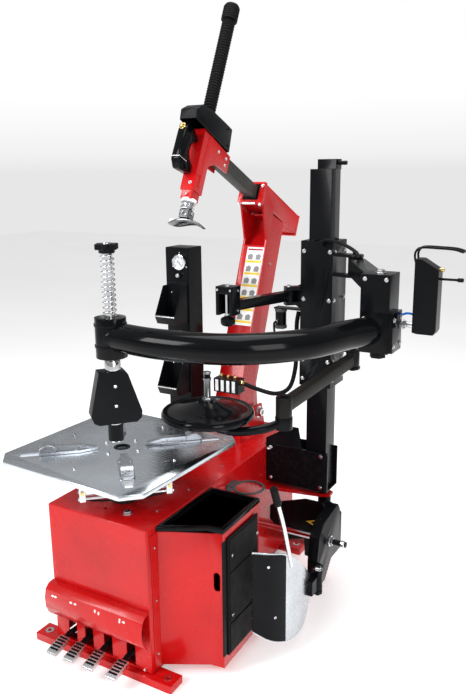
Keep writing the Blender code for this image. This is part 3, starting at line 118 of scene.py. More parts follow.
def table_frame():
    """Turntable frame: its X axis runs along the first jaw's slot."""
    along = joint_axis("jaw_1_slide")
    return Matrix((along, Z_UP.cross(along), Z_UP)).transposed().to_4x4()


def local_box(node, matrix):
    """Lowest and highest corners of a CAD node in another frame."""
    inverse = matrix.inverted()
    points = [inverse @ vertex.co for vertex in frame["nodes"][node].data.vertices]
    low = Vector([min(point[axis] for point in points) for axis in range(3)])
    high = Vector([max(point[axis] for point in points) for axis in range(3)])
    return low, high


TOOL = leaning_frame()
COLUMN = column_frame()
TABLE = table_frame()
WORLD = Matrix.Identity(4)
Y_FRONT = Vector((0.0, -1.0, 0.0))
LABEL_THICKNESS = 0.0006
MERGE_DISTANCE = 0.00002
FLAT_ANGLE = math.radians(1.0)
BEVEL_ANGLE = 32.0
SMOOTH_ANGLE = 38.0
DEFAULT_BEVEL = 0.0015
INK_THICKNESS = 0.0002


# ---------------------------------------------------------------- mesh tools
def new_object(bm, name):
    """Turn a finished bmesh into an object of the scene."""
    bmesh.ops.recalc_face_normals(bm, faces=bm.faces)
    mesh = bpy.data.meshes.new(name)
    bm.to_mesh(mesh)
    bm.free()
    item = bpy.data.objects.new(name, mesh)
    bpy.context.scene.collection.objects.link(item)
    return item


def add_loft(bm, rings):
    """Skin closed rings of vertices in order, with flat ends."""
    bm.faces.new(rings[0])
    bm.faces.new(list(reversed(rings[-1])))
    for first, second in zip(rings[:-1], rings[1:]):
        for corner in range(len(first)):
            after = (corner + 1) % len(first)
            bm.faces.new((first[corner], second[corner], second[after], first[after]))


def add_prism(bm, outline, axis, low, high):
    """Extrude a closed outline along X, Y or Z."""
    loops = []
    for level in (low, high):
        ring = []
        for first, second in outline:
            place = {"X": (level, first, second), "Y": (first, level, second), "Z": (first, second, level)}
            ring.append(bm.verts.new(place[axis]))
        loops.append(ring)
    add_loft(bm, loops)


def add_block(bm, low, high):
    """A box between two opposite corners."""
    outline = ((low[0], low[1]), (high[0], low[1]), (high[0], high[1]), (low[0], high[1]))
    add_prism(bm, outline, "Z", low[2], high[2])


def add_turned(bm, profile, matrix=WORLD, sides=48):
    """Revolve a closed (radius, height) outline around the frame's Z axis."""
    rings = []
    for radius, height in profile:
        count = 1 if radius == 0.0 else sides
        ring = []
        for step in range(count):
            angle = 2.0 * math.pi * step / sides
            point = Vector((radius * math.cos(angle), radius * math.sin(angle), height))
            ring.append(bm.verts.new(matrix @ point))
        rings.append(ring)
    for index in range(len(rings)):
        low, high = rings[index], rings[(index + 1) % len(rings)]
        if len(low) == 1 and len(high) == 1:
            continue
        for step in range(sides):
            after = (step + 1) % sides
            if len(low) == 1:
                bm.faces.new((low[0], high[step], high[after]))
            elif len(high) == 1:
                bm.faces.new((low[step], low[after], high[0]))
            else:
                bm.faces.new((low[step], low[after], high[after], high[step]))


def axis_frame(start, end):
    """A frame at start whose Z axis points at end."""
    start, end = Vector(start), Vector(end)
    return Matrix.Translation(start) @ (end - start).to_track_quat("Z", "Y").to_matrix().to_4x4()


def add_rod(bm, start, end, radius, sides=32, chamfer=0.0, end_radius=None):
    """A cylinder or cone between two points, with chamfered ends."""
    length = (Vector(end) - Vector(start)).length
    top = radius if end_radius is None else end_radius
    if chamfer:
        profile = ((0, 0), (radius - chamfer, 0), (radius, chamfer), (top, length - chamfer),
            (top - chamfer, length), (0, length))
    else:
        profile = ((0, 0), (radius, 0), (top, length), (0, length))
    add_turned(bm, profile, axis_frame(start, end), sides)


def smooth_route(points, steps=8):
    """Points of a Catmull-Rom curve through the given points."""
    points = [Vector(point) for point in points]
    padded = [2 * points[0] - points[1]] + points + [2 * points[-1] - points[-2]]
    route = []
    for index in range(1, len(padded) - 2):
        a, b, c, d = padded[index - 1:index + 3]
        for step in range(steps):
            t = step / steps
            route.append(0.5 * (2 * b + (c - a) * t + (2 * a - 5 * b + 4 * c - d) * t ** 2
                + (3 * b - a - 3 * c + d) * t ** 3))
    return route + [points[-1]]


def add_pipe(bm, points, radius, sides=20, radii=None):
    """Sweep a circle along points, with flat ends."""
    points = [Vector(point) for point in points]
    radii = radii or [radius] * len(points)
    tangents = []
    for index in range(len(points)):
        before, after = points[max(index - 1, 0)], points[min(index + 1, len(points) - 1)]
        tangents.append((after - before).normalized())
    helper = Z_UP if abs(tangents[0].z) < 0.9 else Vector((0.0, 1.0, 0.0))
    normal = (helper - helper.dot(tangents[0]) * tangents[0]).normalized()
    rings = []
    for point, tangent, size in zip(points, tangents, radii):
        normal = (normal - normal.dot(tangent) * tangent).normalized()
        binormal = tangent.cross(normal)
        ring = []
        for step in range(sides):
            angle = 2.0 * math.pi * step / sides
            ring.append(bm.verts.new(point + size * (math.cos(angle) * normal
                + math.sin(angle) * binormal)))
        rings.append(ring)
    add_loft(bm, rings)


def add_hex_bolt(bm, place, axis, size, height=None):
    """Hexagon head on a washer. size is the radius over the head's corners."""
    axis = Vector(axis).normalized()
    place = Vector(place)
    height = height or size * 0.75
    add_rod(bm, place, place + axis * size * 0.16, size * 1.28, 28, size * 0.04)
    add_rod(bm, place + axis * size * 0.15, place + axis * height, size, 6, size * 0.1)


def add_cap_screw(bm, place, axis, radius):
    """Round socket head with its hexagon recess."""
    height, recess = radius * 1.0, radius * 0.55
    profile = ((0, 0), (radius, 0), (radius, height * 0.88), (radius * 0.9, height), (recess, height),
        (recess * 0.94, height * 0.45), (0, height * 0.4))
    place = Vector(place)
    add_turned(bm, profile, axis_frame(place, place + Vector(axis)), 24)


def transform(bm, matrix):
    """Carry a whole mesh into another frame."""
    bmesh.ops.transform(bm, matrix=matrix, verts=bm.verts)
    return bm


def shape(add, *values, matrix=None):
    """A new mesh that holds one shape, made by one of the functions above."""
    bm = bmesh.new()
    add(bm, *values)
    return transform(bm, matrix) if matrix else bm


def merge(bm, part):
    """Move everything in one mesh into another."""
    mesh = bpy.data.meshes.new("part")
    part.to_mesh(mesh)
    part.free()
    bm.from_mesh(mesh)
    bpy.data.meshes.remove(mesh)


def add_bar(bm, low, high, matrix):
    """A box drawn in a frame of its own."""
    part = bmesh.new()
    add_block(part, low, high)
    transform(part, matrix)
    merge(bm, part)


def add_label(bm, outline, matrix, thickness=LABEL_THICKNESS):
    """A flat shape of printed ink or film, standing a little proud of its surface."""
    part = bmesh.new()
    add_prism(part, outline, "Z", 0.0, thickness)
    transform(part, matrix)
    merge(bm, part)


def bevel(item, width, segments=2, angle=BEVEL_ANGLE):
    """Round the sharp edges of a piece."""
    modifier = item.modifiers.new("Bevel", "BEVEL")
    modifier.width = width
    modifier.segments = segments
    modifier.limit_method = "ANGLE"
    modifier.angle_limit = math.radians(angle)
    modifier.miter_outer = "MITER_ARC"
    modifier.harden_normals = True
    modifier.use_clamp_overlap = True
    return item


def apply_modifiers(item):
    """Make the modified shape the object's own mesh."""
    bpy.context.view_layer.update()
    graph = bpy.context.evaluated_depsgraph_get()
    solid = bpy.data.meshes.new_from_object(item.evaluated_get(graph))
    item.modifiers.clear()
    item.data = solid
    return item


def cut(target, *others):
    """Take solids away from a target."""
    for other in others:
        modifier = target.modifiers.new("Cut", "BOOLEAN")
        modifier.operation = "DIFFERENCE"
        modifier.solver = "EXACT"
        modifier.object = other
        apply_modifiers(target)
        bpy.data.objects.remove(other, do_unlink=True)
    return target


def place_piece(item, material, slot=None, nodes=(), smooth=SMOOTH_ANGLE, rides=True):
    """Shade a piece and give it its material. It rides on its node's body."""
    item.data.materials.clear()
    item.data.materials.append(material)
    for face in item.data.polygons:
        face.material_index = 0
    item.data.shade_smooth()
    if not any(modifier.type == "BEVEL" for modifier in item.modifiers):
        item.data.set_sharp_from_angle(angle=math.radians(smooth))
    slot = slot or nodes[0]
    if rides:
        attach(item, body_of_node(slot))
    if nodes:
        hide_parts(*nodes)
    return item


def body_of_node(node):
    """The body a CAD node rides on."""
    return frame["nodes"][node]["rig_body"]


def refine(node, material, width=0.002, segments=2, angle=BEVEL_ANGLE):
    """Stand a bevelled copy of a CAD node in its place."""
    source = frame["nodes"][node]
    bm = bmesh.new()
    bm.from_mesh(source.data)
    bmesh.ops.remove_doubles(bm, verts=bm.verts, dist=MERGE_DISTANCE)
    bmesh.ops.dissolve_limit(bm, angle_limit=FLAT_ANGLE, verts=bm.verts, edges=bm.edges)
    item = new_object(bm, node + "_fine")
    bevel(item, width, segments, angle)
    return place_piece(item, material, nodes=(node,))


def piece(bm, name, material, slot=None, width=0.0, segments=2, nodes=(), smooth=SMOOTH_ANGLE, rides=True):
    """Finish a mesh made here as a piece of the machine."""
    item = new_object(bm, name)
    if width:
        bevel(item, width, segments)
    return place_piece(item, material, slot, nodes, smooth, rides)


def turned_piece(name, profile, matrix, material, slot=None, sides=48, nodes=()):
    """A piece revolved from one outline."""
    return piece(shape(add_turned, profile, matrix, sides), name, material, slot, nodes=nodes)


# ---------------------------------------------------------------- materials
class Nodes:
    """Short names for building a material's node tree."""

    def __init__(self, name):
        """Start a material and its object coordinates."""
        self.material = bpy.data.materials.new(name)
        self.material.use_nodes = True
        self.tree = self.material.node_tree
        self.shader = self.tree.nodes["Principled BSDF"]
        self.place = self.tree.nodes.new("ShaderNodeTexCoord").outputs["Object"]

    def new(self, kind, **values):
        """Add a node."""
        node = self.tree.nodes.new(kind)
        for key, value in values.items():
            setattr(node, key, value)
        return node

    def link(self, source, target):
        """Join two sockets."""
        self.tree.links.new(source, target)

    def stretched(self, scale):
        """Object coordinates scaled by axis."""
        mapping = self.new("ShaderNodeMapping")
        mapping.inputs["Scale"].default_value = scale
        self.link(self.place, mapping.inputs["Vector"])
        return mapping.outputs["Vector"]

    def noise(self, scale, detail=3.0, place=None, distortion=0.0):
        """A noise value."""
        node = self.new("ShaderNodeTexNoise")
        node.inputs["Scale"].default_value = scale
        node.inputs["Detail"].default_value = detail
        node.inputs["Distortion"].default_value = distortion
        self.link(place or self.place, node.inputs["Vector"])
        return node.outputs["Fac"]

    def ramp(self, source, stops):
        """A colour from stops."""
        node = self.new("ShaderNodeValToRGB")
        ramp = node.color_ramp
        while len(ramp.elements) < len(stops):
            ramp.elements.new(0.5)
        for element, (position, colour) in zip(ramp.elements, stops):
            element.position = position
            element.color = (*colour, 1.0)
        self.link(source, node.inputs["Fac"])
        return node.outputs["Color"]

    def range(self, source, low, high, out_low, out_high):
        """Move a value from one range into another."""
        node = self.new("ShaderNodeMapRange")
        for name, value in (("From Min", low), ("From Max", high), ("To Min", out_low),
                ("To Max", out_high)):
            node.inputs[name].default_value = value
        self.link(source, node.inputs["Value"])
        return node.outputs["Result"]

    def mix(self, factor, first, second):
        """Blend two colours."""
        node = self.new("ShaderNodeMix", data_type="RGBA")
        self.link(factor, node.inputs["Factor"])
        for name, value in (("A", first), ("B", second)):
            socket = [item for item in node.inputs if item.name == name and item.type == "RGBA"][0]
            if hasattr(value, "is_output"):
                self.link(value, socket)
            else:
                socket.default_value = (*value, 1.0)
        return [item for item in node.outputs if item.type == "RGBA"][0]

    def maths(self, operation, first, second):
        """One arithmetic step on two values."""
        node = self.new("ShaderNodeMath", operation=operation)
        for socket, value in zip(node.inputs, (first, second)):
            if hasattr(value, "is_output"):
                self.link(value, socket)
            else:
                socket.default_value = value
        return node.outputs["Value"]

    def worn_edges(self, low=0.52, high=0.6):
        """Bright where the surface is sharply convex."""
        geometry = self.new("ShaderNodeNewGeometry")
        return self.range(geometry.outputs["Pointiness"], low, high, 0.0, 1.0)

    def bump(self, height, strength, distance):
        """Give the surface a relief."""
        node = self.new("ShaderNodeBump")
        node.inputs["Strength"].default_value = strength
        node.inputs["Distance"].default_value = distance
        self.link(height, node.inputs["Height"])
        self.link(node.outputs["Normal"], self.shader.inputs["Normal"])

    def set(self, name, value):
        """Set or link a socket of the shader."""
        socket = self.shader.inputs[name]
        if hasattr(value, "is_output"):
            self.link(value, socket)
        elif name in ("Base Color", "Emission Color", "Specular Tint"):
            socket.default_value = (*value, 1.0)
        else:
            socket.default_value = value
        return self


def enamel(name, colour, roughness=0.25, grime=0.12, coat=0.35):
    """Gloss paint: slight orange peel, faint uneven tone and a little dust."""
    nodes = Nodes(name)
    dark = tuple(channel * (1.0 - 1.6 * grime) for channel in colour)
    light = tuple(min(1.0, channel * (1.0 + grime)) for channel in colour)
    tone = nodes.ramp(nodes.noise(3.2, 5.0), ((0.3, dark), (0.5, colour), (0.72, light)))
    nodes.set("Base Color", tone)
    nodes.set("Roughness", nodes.range(nodes.noise(11.0, 6.0), 0.3, 0.75, roughness * 0.75,
        roughness * 1.45))
    nodes.set("Specular IOR Level", 0.26)
    nodes.set("Coat Weight", coat * 0.5)
    nodes.set("Coat Roughness", 0.06)
    nodes.bump(nodes.noise(260.0, 2.0), 0.08, 0.0005)
    return nodes.material


def powder_black(name, colour=(0.003, 0.0033, 0.0042), roughness=0.24, grain=420.0, coat=0.25):
    """Black powder coat: fine pebble, dusty patches, grey rub marks on the edges."""
    nodes = Nodes(name)
    dusty = nodes.ramp(nodes.noise(6.0, 6.0), ((0.42, colour), (0.8,
        tuple(channel * 1.5 for channel in colour))))
    worn = nodes.maths("MULTIPLY", nodes.worn_edges(0.55, 0.64),
        nodes.range(nodes.noise(48.0, 4.0), 0.45, 0.62, 0, 0.08))
    nodes.set("Base Color", nodes.mix(worn, dusty, (0.04, 0.041, 0.044)))
    nodes.set("Roughness", nodes.range(nodes.noise(9.0, 4.0), 0.3, 0.72, roughness * 0.88,
        roughness * 1.18))
    nodes.set("Specular IOR Level", 0.08)
    nodes.set("Coat Weight", coat * 0.2)
    nodes.set("Coat Roughness", 0.06)
    nodes.bump(nodes.noise(grain, 2.0), 0.08, 0.0004)
    return nodes.material


def moulded(name, colour=(0.014, 0.014, 0.015), roughness=0.42, grain=700.0):
    """Moulded plastic or rubber with a fine stipple."""
    nodes = Nodes(name)
    light = tuple(channel * 1.9 for channel in colour)
    nodes.set("Base Color", nodes.ramp(nodes.noise(9.0, 6.0), ((0.38, colour), (0.85, light))))
    nodes.set("Roughness", nodes.range(nodes.noise(24.0, 5.0), 0.3, 0.7, roughness * 0.88,
        roughness * 1.15))
    nodes.set("Specular IOR Level", 0.1)
    nodes.bump(nodes.noise(grain, 2.0), 0.14, 0.0004)
    return nodes.material


def ground_steel(name, colour=(0.6, 0.62, 0.65), roughness=0.3, scale=(40.0, 900.0, 40.0)):
    """Ground steel: long fine scratches one way, faint stains."""
    nodes = Nodes(name)
    grain = nodes.noise(1.0, 4.0, nodes.stretched(scale))
    stain = nodes.noise(7.0, 6.0)
    shade = tuple(channel * 0.84 for channel in colour)
    nodes.set("Base Color", nodes.ramp(stain, ((0.28, shade), (0.56, colour),
        (0.8, tuple(min(1, c * 1.1) for c in colour)))))
    nodes.set("Metallic", 1.0)
    nodes.set("Roughness", nodes.range(grain, 0.3, 0.7, roughness * 0.85, roughness * 1.2))
    nodes.bump(grain, 0.01, 0.0002)
    return nodes.material


def bright_metal(name, colour=(0.78, 0.79, 0.81), roughness=0.1):
    """Chrome or polished metal with smudges and hairline scratches."""
    nodes = Nodes(name)
    smudge = nodes.noise(21.0, 6.0)
    shade = tuple(channel * 0.8 for channel in colour)
    nodes.set("Base Color", nodes.ramp(smudge, ((0.3, shade), (0.6, colour))))
    nodes.set("Metallic", 1.0)
    nodes.set("Roughness", nodes.range(smudge, 0.3, 0.75, roughness * 0.8, roughness * 1.5))
    nodes.bump(nodes.noise(1.0, 3.0, nodes.stretched((900.0, 900.0, 90.0))), 0.02, 0.0002)
    return nodes.material


def casting(name, colour=(0.055, 0.058, 0.062), roughness=0.48):
    """Painted casting with its sand-cast skin."""
    nodes = Nodes(name)
    light = tuple(channel * 1.7 for channel in colour)
    nodes.set("Base Color", nodes.ramp(nodes.noise(12.0, 7.0), ((0.35, colour), (0.75, light))))
    nodes.set("Metallic", 0.35)
    nodes.set("Roughness", nodes.range(nodes.noise(30.0, 6.0), 0.3, 0.7, roughness * 0.75, roughness * 1.3))
    nodes.bump(nodes.noise(150.0, 4.0), 0.35, 0.0011)
    return nodes.material


RED = enamel("red_enamel", (0.52, 0.004, 0.005), 0.24)
RED_COLUMN = enamel("red_enamel_column", (0.54, 0.005, 0.0065), 0.26)
BLACK = powder_black("black_powder_coat")
GLOSS_BLACK = powder_black("black_gloss_coat", (0.0025, 0.0027, 0.0033), 0.13, 300.0, 0.4)
ARM_GREY = powder_black("dark_grey_oxide", (0.045, 0.046, 0.042), 0.34, 500.0, 0.1)
PLASTIC = moulded("black_plastic", (0.0035, 0.0038, 0.0048), 0.34)
DARK_RUBBER = moulded("black_rubber", (0.0042, 0.0043, 0.0048), 0.54, 420.0)
CASTING = casting("dark_casting")
ZINC = ground_steel("zinc_plate", (0.66, 0.67, 0.68), 0.26, (160.0, 160.0, 160.0))
CHROME = bright_metal("hard_chrome")
BOLT = bright_metal("bright_bolts", (0.7, 0.71, 0.72), 0.18)
BRASS = bright_metal("brass", (0.78, 0.56, 0.22), 0.16)
ALUMINIUM = ground_steel("satin_aluminium", (0.74, 0.75, 0.76), 0.32, (300.0, 300.0, 300.0))
WHITE_INK = moulded("white_ink", (0.78, 0.78, 0.78), 0.4, 200.0)
RED_INK = moulded("red_ink", (0.3, 0.01, 0.012), 0.4, 200.0)
YELLOW_INK = moulded("yellow_ink", (0.72, 0.5, 0.04), 0.4, 200.0)
WHITE_RING = moulded("white_ring", (0.8, 0.81, 0.82), 0.3, 300.0)
GREY_INK = moulded("grey_ink", (0.22, 0.22, 0.23), 0.45, 200.0)
BLUE_TUBE = moulded("blue_tube", (0.02, 0.16, 0.55), 0.25, 300.0)
HEAD_STEEL = bright_metal("head_steel", (0.2, 0.205, 0.215), 0.2)
JAW_STEEL = ground_steel("jaw_steel", (0.46, 0.48, 0.51), 0.3, (90.0, 90.0, 90.0))
TABLE_STEEL = ground_steel("table_steel", (0.66, 0.7, 0.75), 0.24, (30.0, 700.0, 30.0))
LINK_GREY = powder_black("link_grey_brown", (0.01, 0.0094, 0.008), 0.3, 500.0, 0.1)
DIAL_WHITE = moulded("dial_white", (0.5, 0.51, 0.53), 0.4, 200.0)
GALVANISED = ground_steel("galvanised_steel", (0.6, 0.63, 0.66), 0.26, (60.0, 60.0, 60.0))


# ---------------------------------------------------------------- floor, lights and camera
def studio():
    """Backdrop, lights and world."""
    scene = bpy.context.scene
    size = 14.0
    bm = bmesh.new()
    corners = ((-size, -size), (size, -size), (size, size), (-size, size))
    bm.faces.new([bm.verts.new((x, y, 0.0)) for x, y in corners])
    floor = new_object(bm, "floor")
    nodes = Nodes("pale_floor")
    nodes.set("Base Color", nodes.ramp(nodes.noise(0.8, 4.0), ((0.3, (0.9, 0.9, 0.9)),
        (0.7, (0.95, 0.95, 0.95)))))
    nodes.set("Roughness", 0.75)
    nodes.set("Specular IOR Level", 0.1)
    nodes.set("Emission Color", (1.0, 1.0, 1.0))
    nodes.set("Emission Strength", 0.3)
    floor.data.materials.append(nodes.material)

    world = bpy.data.worlds.new("soft_white")
    world.use_nodes = True
    background = world.node_tree.nodes["Background"]
    tree = world.node_tree
    height = tree.nodes.new("ShaderNodeTexCoord")
    split = tree.nodes.new("ShaderNodeSeparateXYZ")
    scale = tree.nodes.new("ShaderNodeMapRange")
    scale.inputs["From Min"].default_value = -1.0
    rays = tree.nodes.new("ShaderNodeLightPath")
    white = tree.nodes.new("ShaderNodeMix")
    white.data_type = "RGBA"
    tree.links.new(height.outputs["Generated"], split.inputs["Vector"])
    tree.links.new(split.outputs["Z"], scale.inputs["Value"])
    tree.links.new(rays.outputs["Is Camera Ray"], white.inputs["Factor"])
    colours = [socket for socket in white.inputs if socket.type == "RGBA"]
    lit = ((0.3, 0.55), (0.49, 0.85), (0.54, 0.3), (1.0, 0.62))
    seen = ((0.5, 0.8), (0.51, 0.88), (0.545, 1.0))
    for stops, socket in ((lit, colours[0]), (seen, colours[1])):
        ramp = tree.nodes.new("ShaderNodeValToRGB")
        while len(ramp.color_ramp.elements) < len(stops):
            ramp.color_ramp.elements.new(0.5)
        for element, (position, grey) in zip(ramp.color_ramp.elements, stops):
            element.position = position
            element.color = (grey, grey, grey, 1.0)
        tree.links.new(scale.outputs["Result"], ramp.inputs["Fac"])
        tree.links.new(ramp.outputs["Color"], socket)
    tree.links.new([socket for socket in white.outputs if socket.type == "RGBA"][0],
        background.inputs["Color"])
    background.inputs["Strength"].default_value = 1.0
    scene.world = world
    scene.view_settings.view_transform = "Standard"

    def area(name, place, target, width, height, power):
        """One area light, aimed at the machine."""
        light = bpy.data.lights.new(name, "AREA")
        light.shape = "RECTANGLE"
        light.size = width
        light.size_y = height
        light.energy = power
        item = bpy.data.objects.new(name, light)
        scene.collection.objects.link(item)
        item.location = place
        item.rotation_euler = (Vector(target) - Vector(place)).to_track_quat("-Z", "Y").to_euler()
    area("key", (-1.6, -3.2, 3.4), (0.1, 0.1, 0.9), 1.8, 1.8, 150)
    area("fill", (3.6, -2.0, 2.4), (0.2, 0.2, 0.8), 1.6, 2.2, 70)
    area("top", (0.3, 0.6, 4.2), (0.2, 0.3, 0.5), 2.4, 2.4, 90)


def camera():
    """Three-quarter view from the front right, a little above the turntable."""
    azimuth, pitch, roll = math.radians(29.972), math.radians(13.78), math.radians(-0.583)
    back = Vector((math.sin(azimuth) * math.cos(pitch), -math.cos(azimuth) * math.cos(pitch),
        math.sin(pitch)))
    right = Vector((math.cos(azimuth), math.sin(azimuth), 0.0))
    up = back.cross(right)
    turned_right = math.cos(roll) * right + math.sin(roll) * up
    turned_up = -math.sin(roll) * right + math.cos(roll) * up
    data = bpy.data.cameras.new("camera")
    data.lens = 37.23
    data.sensor_width = 36.0
    data.sensor_fit = "AUTO"
    item = bpy.data.objects.new("camera", data)
    bpy.context.scene.collection.objects.link(item)
    matrix = Matrix((turned_right, turned_up, back)).transposed().to_4x4()
    item.matrix_world = Matrix.Translation((1.4772, -1.7977, 1.6511)) @ matrix
    bpy.context.scene.camera = item


studio()
camera()


# ---------------------------------------------------------------- cabinet, hood, base and pedals
PEDAL_X = (-0.132, -0.058, 0.026, 0.124)


def cabinet():
    """Cabinet shell with vent slots drawn as black strips of painted shade, pedal recess, column yoke, valve
    block and screws.
    """
    low, high = -0.209, 0.209
    shell = bevel(new_object(shape(add_block, (low, -0.157, 0.0283), (high, 0.93, 0.552)), "cabinet_skin"),
        0.006, 4)
    apply_modifiers(shell)
    cutters = [(add_block, (low + 0.004, -0.153, 0.0), (high - 0.004, 0.926, 0.548)),
        (add_rod, (0, 0, 0.5), (0, 0, 0.6), 0.046, 40), (add_rod, (0, 0.719, 0.5), (0, 0.719, 0.6), 0.02,
        24), (add_rod, (0.19, 0.545, 0.27), (0.23, 0.545, 0.27), 0.022, 24),
        (add_rod, (-0.008, -0.092, 0.54), (-0.008, -0.092, 0.6), 0.0065, 16),]
    for place in PEDAL_X:
        cutters.append((add_block, (place - 0.0185, -0.17, 0.04), (place + 0.0185, -0.14, 0.126)))
        cutters.append((add_block, (place - 0.011, -0.17, 0.12), (place + 0.011, -0.14, 0.133)))
    cut(shell, *[new_object(shape(*cutter), "cutter") for cutter in cutters])
    place_piece(shell, RED, nodes=("cabinet_shell",))

    bm = bmesh.new()
    for side in (-1, 1):
        ends = sorted((side * 0.066, side * 0.078))
        add_prism(bm, ((0.77, 0.549), (0.77, 0.6), (0.815, 0.655), (0.88, 0.655), (0.905, 0.549)), "X",
            *ends)
    for level in (0.15, 0.372):
        add_prism(bm, ((0.207, 0.64), (0.445, 0.68), (0.48, 0.7), (0.48, 0.732), (0.445, 0.752),
            (0.207, 0.79)), "Z", level, level + 0.012)
    add_block(bm, (0.078, 0.64, 0.55), (0.102, 0.66, 0.78))
    piece(bm, "yoke_and_lugs", RED, "cabinet_shell", 0.0015)

    piece(shape(add_block, (-0.003, 0.606, 0.773), (0.111, 0.664, 0.831)), "valve_block", BLACK,
        "cabinet_shell", 0.002)
    bm = bmesh.new()
    for step in range(4):
        add_block(bm, (0.006 + 0.026 * step, 0.605, 0.779), (0.02 + 0.026 * step, 0.6062, 0.826))
    piece(bm, "valve_block_plates", ALUMINIUM, "cabinet_shell")
    bm = bmesh.new()
    for step in range(3):
        add_turned(bm, ((0, 0), (0.007, 0), (0.007, 0.008), (0.005, 0.009), (0.005, 0.014), (0, 0.014)),
            Matrix.Translation((0.02 + 0.032 * step, 0.632, 0.831)), 20)
    piece(bm, "valve_fittings", BRASS, "cabinet_shell")

    bm = bmesh.new()
    add_block(bm, (-0.204, -0.1525, 0.1285), (0.204, -0.05, 0.1305))
    add_block(bm, (-0.204, -0.042, 0.012), (0.204, -0.04, 0.1285))
    piece(bm, "pedal_recess", BLACK, "cabinet_shell")

    bm = bmesh.new()
    add_hex_bolt(bm, (0.081, -0.087, 0.552), Z_UP, 0.013)
    add_cap_screw(bm, (0.181, -0.157, 0.04), Y_FRONT, 0.005)
    for place in ((0.16, 0.16), (-0.16, 0.16), (0.16, -0.03), (-0.16, 0.4), (0.16, 0.4)):
        add_cap_screw(bm, (place[0], place[1], 0.552), Z_UP, 0.0045)
    for height in (0.1, 0.3, 0.5):
        for y in (0.86, 0.3):
            add_cap_screw(bm, (-0.209, y, height), (-1, 0, 0), 0.0045)
    for x in (-0.15, 0.15):
        for height in (0.09, 0.5):
            add_cap_screw(bm, (x, 0.93, height), (0, 1, 0), 0.0045)
    piece(bm, "cabinet_screws", BOLT, "cabinet_shell")

    # The vent slots are not cut: thin black strips on the back and left side are painted shade standing for
    # the dark openings.
    bm = bmesh.new()
    for row in range(6):
        add_block(bm, (-0.06, 0.9296, 0.2 + 0.022 * row), (0.06, 0.9312, 0.21 + 0.022 * row))
    for row in range(5):
        add_block(bm, (-0.2102, 0.5, 0.2 + 0.022 * row), (-0.2086, 0.62, 0.21 + 0.022 * row))
    piece(bm, "vent_slots_painted_shade", PLASTIC, "cabinet_shell")


def hood_labels():
    """Four plain white arrow signs above the pedals: close, open, turn and push."""
    lean = math.atan2(0.007, 0.031)
    frame = Matrix((X_RIGHT, Vector((0, math.sin(lean), math.cos(lean))),
        Vector((0, -math.cos(lean), math.sin(lean)))))
    turn = frame.transposed().to_4x4()
    bm = bmesh.new()

    def sign(x, outline):
        """Ink one outline on the hood."""
        add_label(bm, outline, Matrix.Translation((x, -0.2017, 0.23)) @ turn)
    arrow = ((-0.002, -0.004), (0.002, -0.004), (0.002, 0.001), (0.005, 0.001), (0.0, 0.008),
        (-0.005, 0.001), (-0.002, 0.001))

    def moved(outline, across, up, angle=0.0):
        """An outline moved and turned in its plane."""
        cosine, sine = math.cos(angle), math.sin(angle)
        return [(across + x * cosine - y * sine, up + x * sine + y * cosine) for x, y in outline]
    quarter = math.pi / 2
    for x, turns in ((-0.167, (-quarter, quarter)), (-0.081, (quarter, -quarter)), (0.023, (0.0, math.pi)),
            (0.13, (-quarter,))):
        for index, angle in enumerate(turns):
            sign(x, moved(arrow, -0.008 + 0.016 * index if len(turns) > 1 else 0.004, 0.0, angle))
        if len(turns) == 1:
            sign(x, ((-0.014, -0.007), (-0.008, -0.007), (-0.008, 0.007), (-0.014, 0.007)))
    piece(bm, "pedal_signs", WHITE_INK, "front_hood")


def base():
    """Washers at the base frame's anchor holes."""
    bm = bmesh.new()
    for low, high in ((-0.176, -0.108), (0.82, 0.9)):
        middle = (low + high) / 2
        for side in (-1, 1):
            add_turned(bm, ((0.0075, 0.0), (0.015, 0.0), (0.015, 0.0016), (0.0075, 0.0016)),
                Matrix.Translation((side * 0.262, middle, 0.028)), 28)
    piece(bm, "anchor_washers", BOLT, "base_frame")


def pedals():
    """The four pedals with lever, tread and grip."""
    for number, place in enumerate(PEDAL_X, start=1):
        bm = bmesh.new()
        side = ((-0.062, 0.067), (-0.062, 0.083), (-0.18, 0.088), (-0.222, 0.0735), (-0.262, 0.0635),
            (-0.262, 0.0565), (-0.218, 0.061), (-0.172, 0.0745))
        add_prism(bm, side, "X", place - 0.0075, place + 0.0075)
        add_rod(bm, (place - 0.01, -0.06, 0.075), (place + 0.01, -0.06, 0.075), 0.014, 24)
        piece(bm, f"pedal_lever_{number}_fine", BLACK, width=0.0012, nodes=(f"pedal_{number}",))
        bm = bmesh.new()
        tread = ((-0.196, 0.0835), (-0.225, 0.0765), (-0.262, 0.0675), (-0.27, 0.064), (-0.2725, 0.0585),
            (-0.27, 0.0545), (-0.266, 0.053), (-0.222, 0.062), (-0.196, 0.07))
        add_prism(bm, tread, "X", place - 0.021, place + 0.021)
        piece(bm, f"pedal_tread_{number}", ZINC, f"pedal_{number}", 0.002, 3)
        bm = bmesh.new()
        for step in range(5):
            y = -0.206 - 0.012 * step
            z = 0.0812 + (y + 0.206) * 0.238
            add_bar(bm, (place - 0.017, -0.0035, -0.0004), (place + 0.017, 0.0035, 0.0014),
                Matrix.Translation((0, y, z)) @ Matrix.Rotation(math.atan(0.238), 4, "X"))
        piece(bm, f"pedal_grip_{number}", DARK_RUBBER, f"pedal_{number}", 0.0005)


cabinet()
hood_labels()
base()
pedals()


# ---------------------------------------------------------------- column, arm, head and tool shaft
SHAFT_Y = -0.696


